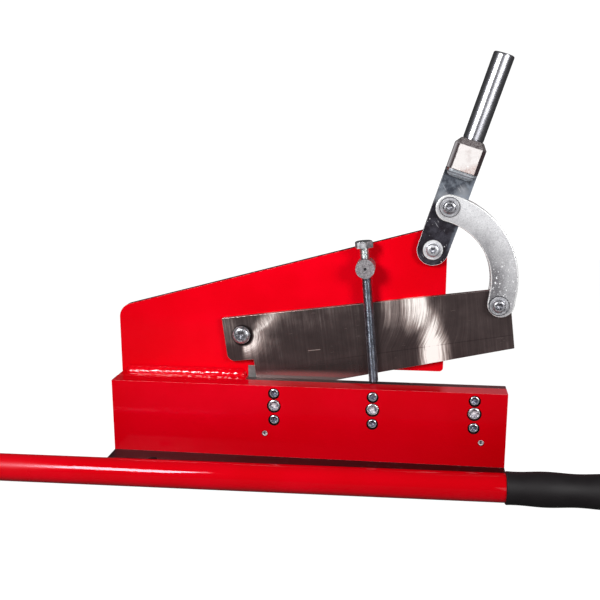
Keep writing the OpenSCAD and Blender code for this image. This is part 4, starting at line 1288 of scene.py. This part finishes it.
# %% Growing a mesh
def grown(name, tree, start, **inputs):
    """The plain mesh that a tree makes from a start mesh and its named inputs."""
    holder = bpy.data.objects.new(name, start)
    bpy.context.scene.collection.objects.link(holder)
    step = holder.modifiers.new("grow", "NODES")
    step.node_group = tree
    sockets = {s.name: s.identifier for s in tree.interface.items_tree if s.in_out == "INPUT"}
    for label, value in inputs.items():
        step[sockets[label]] = value
    bpy.context.view_layer.update()
    seen_now = bpy.context.evaluated_depsgraph_get()
    mesh = bpy.data.meshes.new_from_object(holder.evaluated_get(seen_now))
    holder.modifiers.remove(step)
    bpy.data.objects.remove(holder)
    work = bmesh.new()
    work.from_mesh(mesh)
    bmesh.ops.remove_doubles(work, verts=work.verts, dist=2e-6)
    bmesh.ops.recalc_face_normals(work, faces=work.faces)
    work.to_mesh(mesh)
    work.free()
    return mesh


print("growing ready")

# %% [markdown]
# ## Screws that repeat
# Eleven screws sit in the bar's face. Copying them by hand would work, but a tree that puts one
# screw on every point of a small mesh is quicker to change. Each copy is turned by a random but
# fixed angle, because no two sockets ever stop at the same turn.

# %% Screws on points
def screw_tree():
    """Instances one screw on each point, turned at random about the tool's front-to-back axis."""
    grow, wire = new_tree("screws_on_points", Geometry="Geometry", Screw="Object", Seed="Int",
                          Finish="Material")
    screw = grow.add("GeometryNodeObjectInfo", {"transform_space": "ORIGINAL"},
                     {"Object": wire("Screw")}, "Geometry")
    turn = grow.add("FunctionNodeRandomValue", {"data_type": "FLOAT"},
                    {"Min_001": 0.0, "Max_001": math.tau, "Seed": wire("Seed")}, "Value_001")
    angle = grow.add("FunctionNodeEulerToRotation", None, {"Euler": grow.together(0.0, turn, 0.0)})
    placed = grow.add("GeometryNodeInstanceOnPoints", None,
                      {"Points": wire("Geometry"), "Instance": screw, "Rotation": angle})
    return close_tree(grow, placed, wire("Finish"))


screws_on_points = screw_tree()
print("screw tree with", len(screws_on_points.nodes), "nodes")

# %% [markdown]
# ## The bar's three kinds of screw
# Clamp and jack screws have a round head with a hexagon socket, and the set screws have no
# head. The deep parts of each socket are marked as sunk, and the plating paints them dark as
# shade. The clamp screws keep an unshaded pale spot in the middle, where light falls straight in.

# %% Screws in the bar
def cap_screw(head, tall, shank, length, socket, deep, pale):
    """Socket head screw in millimetres: face at height 0, head and shank below it.

    The socket is deep millimetres deep, and sunk but for pale millimetres round its middle."""
    side = hexagon(socket)
    below = [(0, -length), (shank / 2 - 0.7, -length), (shank / 2, -length + 0.7), (shank / 2, -tall)]
    rim = [(head / 2, -tall), (head / 2, -0.8), (head / 2 - 0.25, -0.3), (head / 2 - 0.8, 0)]
    inside = [(lambda t: side(t) + 0.4, 0), (side, -0.4), (side, -deep),
              (lambda t: side(t) * 0.8, -deep - 0.2), (0, -deep - 0.9)]
    return stack([*below, *rim, *inside], guard=0.45, well=(socket * 0.6, pale, -deep - 1, -0.3))


def set_screw(shank, length, socket):
    """Headless screw in millimetres, its face at height 0, its socket as deep as it's wide."""
    side = hexagon(socket)
    return stack([(0, -length), (shank / 2 - 0.8, -length), (shank / 2, -length + 0.8),
                  (shank / 2, -0.6), (shank / 2 - 0.6, 0), (lambda t: side(t) + 0.3, 0), (side, -0.3),
                  (side, -socket), (0, -socket - 1)], guard=0.3,
                 well=(socket * 0.6, 0, -socket - 1.1, -0.25))


def screws(node, shape, places, finish):
    """Screws of one kind at their places in the bar's face, as one piece."""
    pattern = bpy.data.objects.new("pattern_screw", shape)
    shape.transform(facing(0, 0, 0, -1))
    bpy.context.scene.collection.objects.link(pattern)
    points = bpy.data.meshes.new("screw_places")
    points.from_pydata(places, [], [])
    mesh = grown(node, screws_on_points, points, Screw=pattern, Seed=len(places), Finish=finish)
    bpy.data.objects.remove(pattern)
    piece = show(node + "_dressed", mesh, "frame", finish, "zinc_steel", node)
    print(piece.name, len(places), "screws,", len(mesh.polygons), "faces")


clamp_long, jack_long, rest_long = (
    (high.y - low.y) / MM
    for low, high in ((clamp_low, clamp_high), (jack_low, jack_high), (rest_low, rest_high)))
screws("blade_clamp_screws", cap_screw(head=11.7, tall=8, shank=8, length=clamp_long, socket=8.4,
                                       deep=2.2, pale=1.2), clamp_places, clamp_zinc)
screws("blade_jack_screws", cap_screw(head=8.9, tall=6, shank=6, length=jack_long, socket=6.2,
                                      deep=2.6, pale=0.0), jack_places, jack_zinc)
screws("rest_set_screws", set_screw(shank=6, length=rest_long, socket=3.4), rest_places, rest_zinc)

# %% [markdown]
# ## How a weld bead grows
# A fillet weld fills the corner between two pieces. The welder's hand moves in small steps,
# and each step leaves a crescent that overlaps the last one. A swept curve would be too smooth
# for that. The tree below lays a grid along the joint, wraps it round the corner's section, and
# raises crescents on it. Noise makes their spacing and height uneven, and both ends taper off.

# %% Weld bead tree
def weld_tree():
    """A bead in a corner that runs Along, between pieces that run Across and Rise. Metres."""
    grow, wire = new_tree("weld_bead", Start="Vector", Along="Vector", Across="Vector", Rise="Vector",
                          Length="Float", Leg="Float", Ripple="Float", Height="Float", Seed="Float",
                          Finish="Material")

    def unevenness(vector, shift, scale):
        """Noise along the bead that its seed changes."""
        return grow.add("ShaderNodeTexNoise", {"noise_dimensions": "4D"},
                        {"Vector": vector, "W": wire("Seed") + shift, "Scale": scale, "Detail": 1.0})

    def moved(start, way, distance):
        """A place moved along a direction."""
        far = grow.together(distance, distance, distance)
        return grow.vector("MULTIPLY_ADD", way, far, start)

    length, leg, ripple = wire("Length"), wire("Leg"), wire("Ripple")
    rows = length / (ripple * 0.1)
    grid = grow.add("GeometryNodeMeshGrid", None,
                    {"Size X": length, "Size Y": 1.0, "Vertices X": rows, "Vertices Y": 40}, "Mesh")
    x, y, _ = grow.apart(grow.add("GeometryNodeInputPosition"))
    far = x + length * 0.5
    turn = grow.least(grow.most(y * 1.12 + 0.5, 0.0), 1.0)
    uneven = unevenness(grow.together(far, turn * 0.002, 0.0), 0.0, 150.0)
    slow = unevenness(grow.together(far, 0.0, 0.0), 4.0, 60.0)
    bow = abs(turn - 0.5) * 2.0
    step = grow.sum("FRACT", far / ripple - bow * bow * 1.3 + slow * 3.0)
    toe = grow.most(turn - 0.95, 0.0) / 0.05
    bumps = step * step * 0.85 + (uneven - 0.5) * 1.3 + (slow - 0.5) * 2.6
    crown = 0.78 + (0.06 + 0.16 * uneven) * toe * toe
    crown = crown + wire("Height") / leg * (1.0 - bow * bow * 0.8) * bumps
    ends = grow.least(grow.least(far, length - far) / (leg * 0.8), 1.0)
    taper = grow.sum("SQRT", grow.most(1.0 - (1.0 - ends) ** 2.0, 0.0))
    inside = (y > -0.4995) * (y < 0.4995)
    reach = leg * crown * taper * inside
    angle = turn * (math.pi / 2)
    place = moved(wire("Start"), wire("Along"), far)
    place = moved(place, wire("Across"), reach * grow.sum("COSINE", angle))
    place = moved(place, wire("Rise"), reach * grow.sum("SINE", angle))
    return close_tree(grow, bent_grid(grow, grid, place), wire("Finish"))


weld_bead = weld_tree()
print("weld tree with", len(weld_bead.nodes), "nodes")

# %% [markdown]
# ## Weld beads on the frame
# One bead runs in front of the red plate on top of the bar, with its twin behind, and two more
# hold bar and block on the foot. They were sprayed over with the rest, and the enamel is wet and
# thick on them. The plate beads and the first foot bead start where their packed beads start,
# and the second foot bead 5 mm past the block. Those at the foot are smaller and flatter,
# because they only close the joint.

# %% Frame welds
def beads(node, body, finish, slot, runs, ripple=2.3, height=0.55):
    """Weld beads as one piece. Each run is (start, along, across, rise, length, leg), lengths in mm."""
    parts = []
    for number, (start, along, across, rise, length, leg) in enumerate(runs):
        bead = grown(node, weld_bead, bpy.data.meshes.new("bead_start"), Start=start, Along=along,
                     Across=across, Rise=rise, Length=length * MM, Leg=leg * MM, Ripple=ripple * MM,
                     Height=height * MM, Seed=number * 7.3 + 1.0, Finish=finish)
        parts.append((bead, Matrix.Identity(4)))
    mesh = joined(node + "_dressed", parts)
    for face in mesh.polygons:
        face.use_smooth = True
    piece = show(node + "_dressed", mesh, body, finish, slot, node)
    print(piece.name, len(runs), "beads,", len(mesh.polygons), "faces")


to_right, to_front, to_back, upwards = (1, 0, 0), (0, -1, 0), (0, 1, 0), (0, 0, 1)
bar_low, bar_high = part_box("base_bar")
plate_low, plate_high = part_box("frame_plate")
block_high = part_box("heel_block")[1]
weld_x, foot_weld_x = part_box("plate_welds")[0].x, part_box("foot_welds")[0].x
red_bead = red_enamel("red_enamel_bead", shade_tone=0.92, peel=0.25, wet=True, mirror=0.6, tint=(1, 1, 1))
beads("plate_welds", "frame", red_bead, "red_enamel", [
    ((weld_x, plate_low.y, bar_high.z), to_right, to_front, upwards, 131, 8.0),
    ((weld_x, plate_high.y, bar_high.z), to_right, to_back, upwards, 127.5, 8.0)],
    ripple=6.5, height=0.62)
beads("foot_welds", "frame", red_bead, "red_enamel", [
    ((foot_weld_x, block_high.y, bar_low.z), to_right, to_back, upwards, 127.5, 5.2),
    ((block_high.x + 5 * MM, bar_high.y, bar_low.z), to_right, to_back, upwards, 252.5, 5.2)],
    height=0.4)

# %% [markdown]
# ## The lever's welds
# The square block is welded on the link plate in front and behind. Both beads cross the lever,
# which leans 18 degrees to the right. They could be grown upright and turned afterwards, but
# the tree takes any three directions, so it gets the lever's own.

# %% Lever welds
lean = math.radians(lever_lean)
lever_way = Vector((math.sin(lean), 0, math.cos(lean)))
lever_side = Vector((math.cos(lean), 0, -math.sin(lean)))
link_plate_front, link_plate_back = (corner.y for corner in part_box("lever_plate"))
weld_up, half_weld = 80, 14.6
corner = lever_at + lever_way * weld_up * MM - lever_side * half_weld * MM
beads("lever_welds", "lever", weld_steel, "weld_steel", [
    ((corner.x, link_plate_front, corner.z), lever_side, to_front, -lever_way, 2 * half_weld, 8.4),
    ((corner.x, link_plate_back, corner.z), lever_side, to_back, -lever_way, 2 * half_weld, 8.4)],
    ripple=3.2, height=0.35)

# %% [markdown]
# ## The rod on the lever
# The handle slips on a round rod that stands on the block. It's a turned piece: a plain
# cylinder with a narrow groove near its foot and a rounded top with a centre hole. Working in a
# frame that leans with the lever keeps the numbers plain, because height runs along it.

# %% Rod
def leaning(start, degrees, height):
    """Placement whose height runs up an axis that leans to the right, in millimetres from start."""
    turn = math.radians(degrees)
    way = Vector((math.sin(turn), 0, math.cos(turn)))
    foot = start + way * height * MM
    return Matrix.Translation(foot) @ Matrix.Rotation(turn, 4, "Y") @ Matrix.Scale(MM, 4)


rod_r, groove_r, rod_top, rod_up = 10, 9.7, 82, 110
rod_mesh = stack([(0, -0.5), (rod_r, -0.5), (rod_r, 0.2), (groove_r, 0.6), (groove_r, 1.0),
                  (rod_r, 1.3), (rod_r, rod_top - 1.4), (groove_r, rod_top - 0.5), (9.0, rod_top),
                  (2.6, rod_top), (2.2, rod_top - 0.3), (0, rod_top - 2.4)], steps=96)
rod_foot = Vector((lever_at.x, middle("lever_plate").y, lever_at.z))
show_parts("stub_rod_dressed", [(rod_mesh, leaning(rod_foot, lever_lean, rod_up))], "lever", rod_steel,
           "turned_steel", "stub_rod")

# %% [markdown]
# ## The hold-down bolt's thread
# A thread is a ridge that climbs as it winds, so it follows a rule: the radius at any point
# depends on the height less the turn. The tree takes a grid, wraps it round the bolt's axis
# and sets that radius, which gives a true helix without any curve. The first and the last row
# close on the axis, so the thread is a closed solid.

# %% Thread tree
def thread_tree():
    """Crest and Root are radii, and Tip is how much thinner the thread starts, in metres."""
    grow, wire = new_tree("wound_thread", Length="Float", Crest="Float", Root="Float", Pitch="Float",
                          Tip="Float", Rows="Int", Finish="Material")
    length = wire("Length")
    grid = grow.add("GeometryNodeMeshGrid", None,
                    {"Size X": 1.0, "Size Y": length, "Vertices X": 29, "Vertices Y": wire("Rows")}, "Mesh")
    x, y, _ = grow.apart(grow.add("GeometryNodeInputPosition"))
    turn, high = x + 0.5, y + length * 0.5
    wave = abs(grow.sum("FRACT", high / wire("Pitch") - turn) - 0.5) * 2.0
    ridge = grow.least(grow.most(wave * 1.5 - 0.22, 0.0), 1.0)
    radius = wire("Root") + (wire("Crest") - wire("Root")) * ridge
    radius = grow.least(radius, wire("Crest") - wire("Tip") + high)
    radius = radius * ((y > length * -0.49999) * (y < length * 0.49999))
    angle = turn * math.tau
    place = grow.together(radius * grow.sum("COSINE", angle), radius * grow.sum("SINE", angle), high)
    return close_tree(grow, bent_grid(grow, grid, place), wire("Finish"))


wound_thread = thread_tree()
print("thread tree with", len(wound_thread.nodes), "nodes")

# %% [markdown]
# ## The hold-down bolt
# The bolt is screwed through the round stub, and its end presses the sheet down. Its lower end
# stands 0.8 mm above the bar, where its rim is nearest, and it leans a little to the left. The
# hexagon head has its corners turned off like the nuts, and a shallow dish on top. It could be
# cut from a prism, but it's a stack again, and the thread is grown by the tree above.

# %% Hold-down bolt
press_lean, press_len, press_gap, press_r = 4.9, 137.0, 0.8, 5
head_tall, head_flats = 6.8, 16.0
tip_below_stub = (stub_at.z / MM - bar_high.z / MM - press_gap
                  - press_r * math.sin(math.radians(press_lean))) / math.cos(math.radians(press_lean))
press_axis = Vector((stub_at.x, middle("hold_down_bolt").y, stub_at.z))
thread = grown("press_thread", wound_thread, bpy.data.meshes.new("press_start"),
               Length=press_len * MM, Crest=4.85 * MM, Root=4.05 * MM, Pitch=1.5 * MM, Tip=1.0 * MM,
               Rows=830, Finish=thread_zinc)
thread.transform(Matrix.Scale(1 / MM, 4))
show_parts("hold_down_thread", [(thread, leaning(press_axis, -press_lean, -tip_below_stub))],
           "hold_down_screw", thread_zinc, "zinc_steel", "hold_down_bolt")


def press_head():
    """Hexagon head: washer face below, corners turned off above, a shallow dish on top."""
    side, corner = hexagon(head_flats), head_flats / 2 / math.cos(math.pi / 6)
    inner = head_flats / 2 * 0.93
    drop = (corner - inner) * math.tan(math.radians(28))
    ends = [(capped(side, inner + (corner - inner) * i / 5), head_tall - drop * i / 5) for i in range(6)]
    return stack([(0, -0.4), (head_flats / 2 - 0.6, -0.4), (head_flats / 2 - 0.4, 0), (side, 0.01),
                  *reversed(ends), (inner - 0.7, head_tall), (inner - 1.3, head_tall - 0.25),
                  (0, head_tall - 0.25)])


turned = (leaning(press_axis, -press_lean, press_len - tip_below_stub)
          @ Matrix.Rotation(math.radians(15), 4, "Z"))
show_parts("hold_down_head", [(press_head(), turned)], "hold_down_screw", head_zinc, "zinc_steel",
           "hold_down_bolt")

# %% [markdown]
# ## The handle's tube
# The handle is a length of red pipe. It lies in front of the tool, a little askew, its open end
# on the bench and its other end held up by the grip, so its tilt follows from the two radii. A
# cylinder with a second one cut out of it would do, but a looped stack gives the bore and both
# rims in one go.

# %% Tube
tube_r, tube_wall, tube_len = 13.45, 2.65, 697.0
grip_from, grip_len, grip_r, grip_wave = 565.0, 137.0, 16.2, 36
rise = math.asin((grip_r - tube_r) / (grip_from + grip_wave))
skew = math.radians(0.97)
open_x, bar_end_x, axis_y_there = -0.371, -0.200, -0.0925
open_y = axis_y_there - (bar_end_x - open_x) * math.tan(skew)
along_handle = (Matrix.Translation((open_x, open_y, tube_r * MM)) @ Matrix.Rotation(skew, 4, "Z")
                @ Matrix.Rotation(math.radians(90) - rise, 4, "Y") @ Matrix.Scale(MM, 4))
bore = tube_r - tube_wall
tube_mesh = stack([(bore, 0.4), (bore + 0.5, 0), (tube_r - 0.6, 0), (tube_r, 0.6),
                   (tube_r, tube_len - 0.5), (tube_r - 0.5, tube_len), (bore, tube_len)],
                  steps=96, loop=True)
show_parts("handle_tube_dressed", [(tube_mesh, along_handle)], "handle", red_tube, "red_enamel",
           "handle_tube")

# %% [markdown]
# ## The handle's grip
# The rubber grip is pushed on the pipe's far end. It swells and narrows along its length so
# that it fits a hand. A sculpted shape would be harder to change, so a cosine gives the swell.
# Its rims are rounded as a mould leaves them, and its end has a shallow dimple.

# %% Grip
def grip_radius(x):
    """Radius of the grip at a length, which swells and narrows every 55 mm."""
    return grip_r - 0.55 * (1 - math.cos(math.tau * (x - grip_wave) / 55))


edge, end, pipe_stop = 1.5, 6.0, 132.05
outer = [(grip_radius(0) - edge + edge * math.sin(math.radians(a)), edge - edge * math.cos(math.radians(a)))
         for a in range(0, 91, 15)]
outer += [(grip_radius(x), x) for x in range(3, int(grip_len - end), 2)]
outer += [(grip_radius(grip_len - end) - end + end * math.cos(math.radians(a)),
           grip_len - end + end * math.sin(math.radians(a))) for a in range(0, 91, 10)]
grip_mesh = stack([(0, pipe_stop), (tube_r + 0.05, pipe_stop), (tube_r + 0.05, 0.3), (tube_r + 0.4, 0),
                   *outer, (4.0, grip_len), (3.4, grip_len - 0.6), (0, grip_len - 0.6)],
                  steps=96, guard=2)
grip_place = along_handle @ Matrix.Translation((0, 0, grip_from))
show_parts("handle_grip_dressed", [(grip_mesh, grip_place)], "handle", grip_rubber, "grip_rubber",
           "handle_grip")
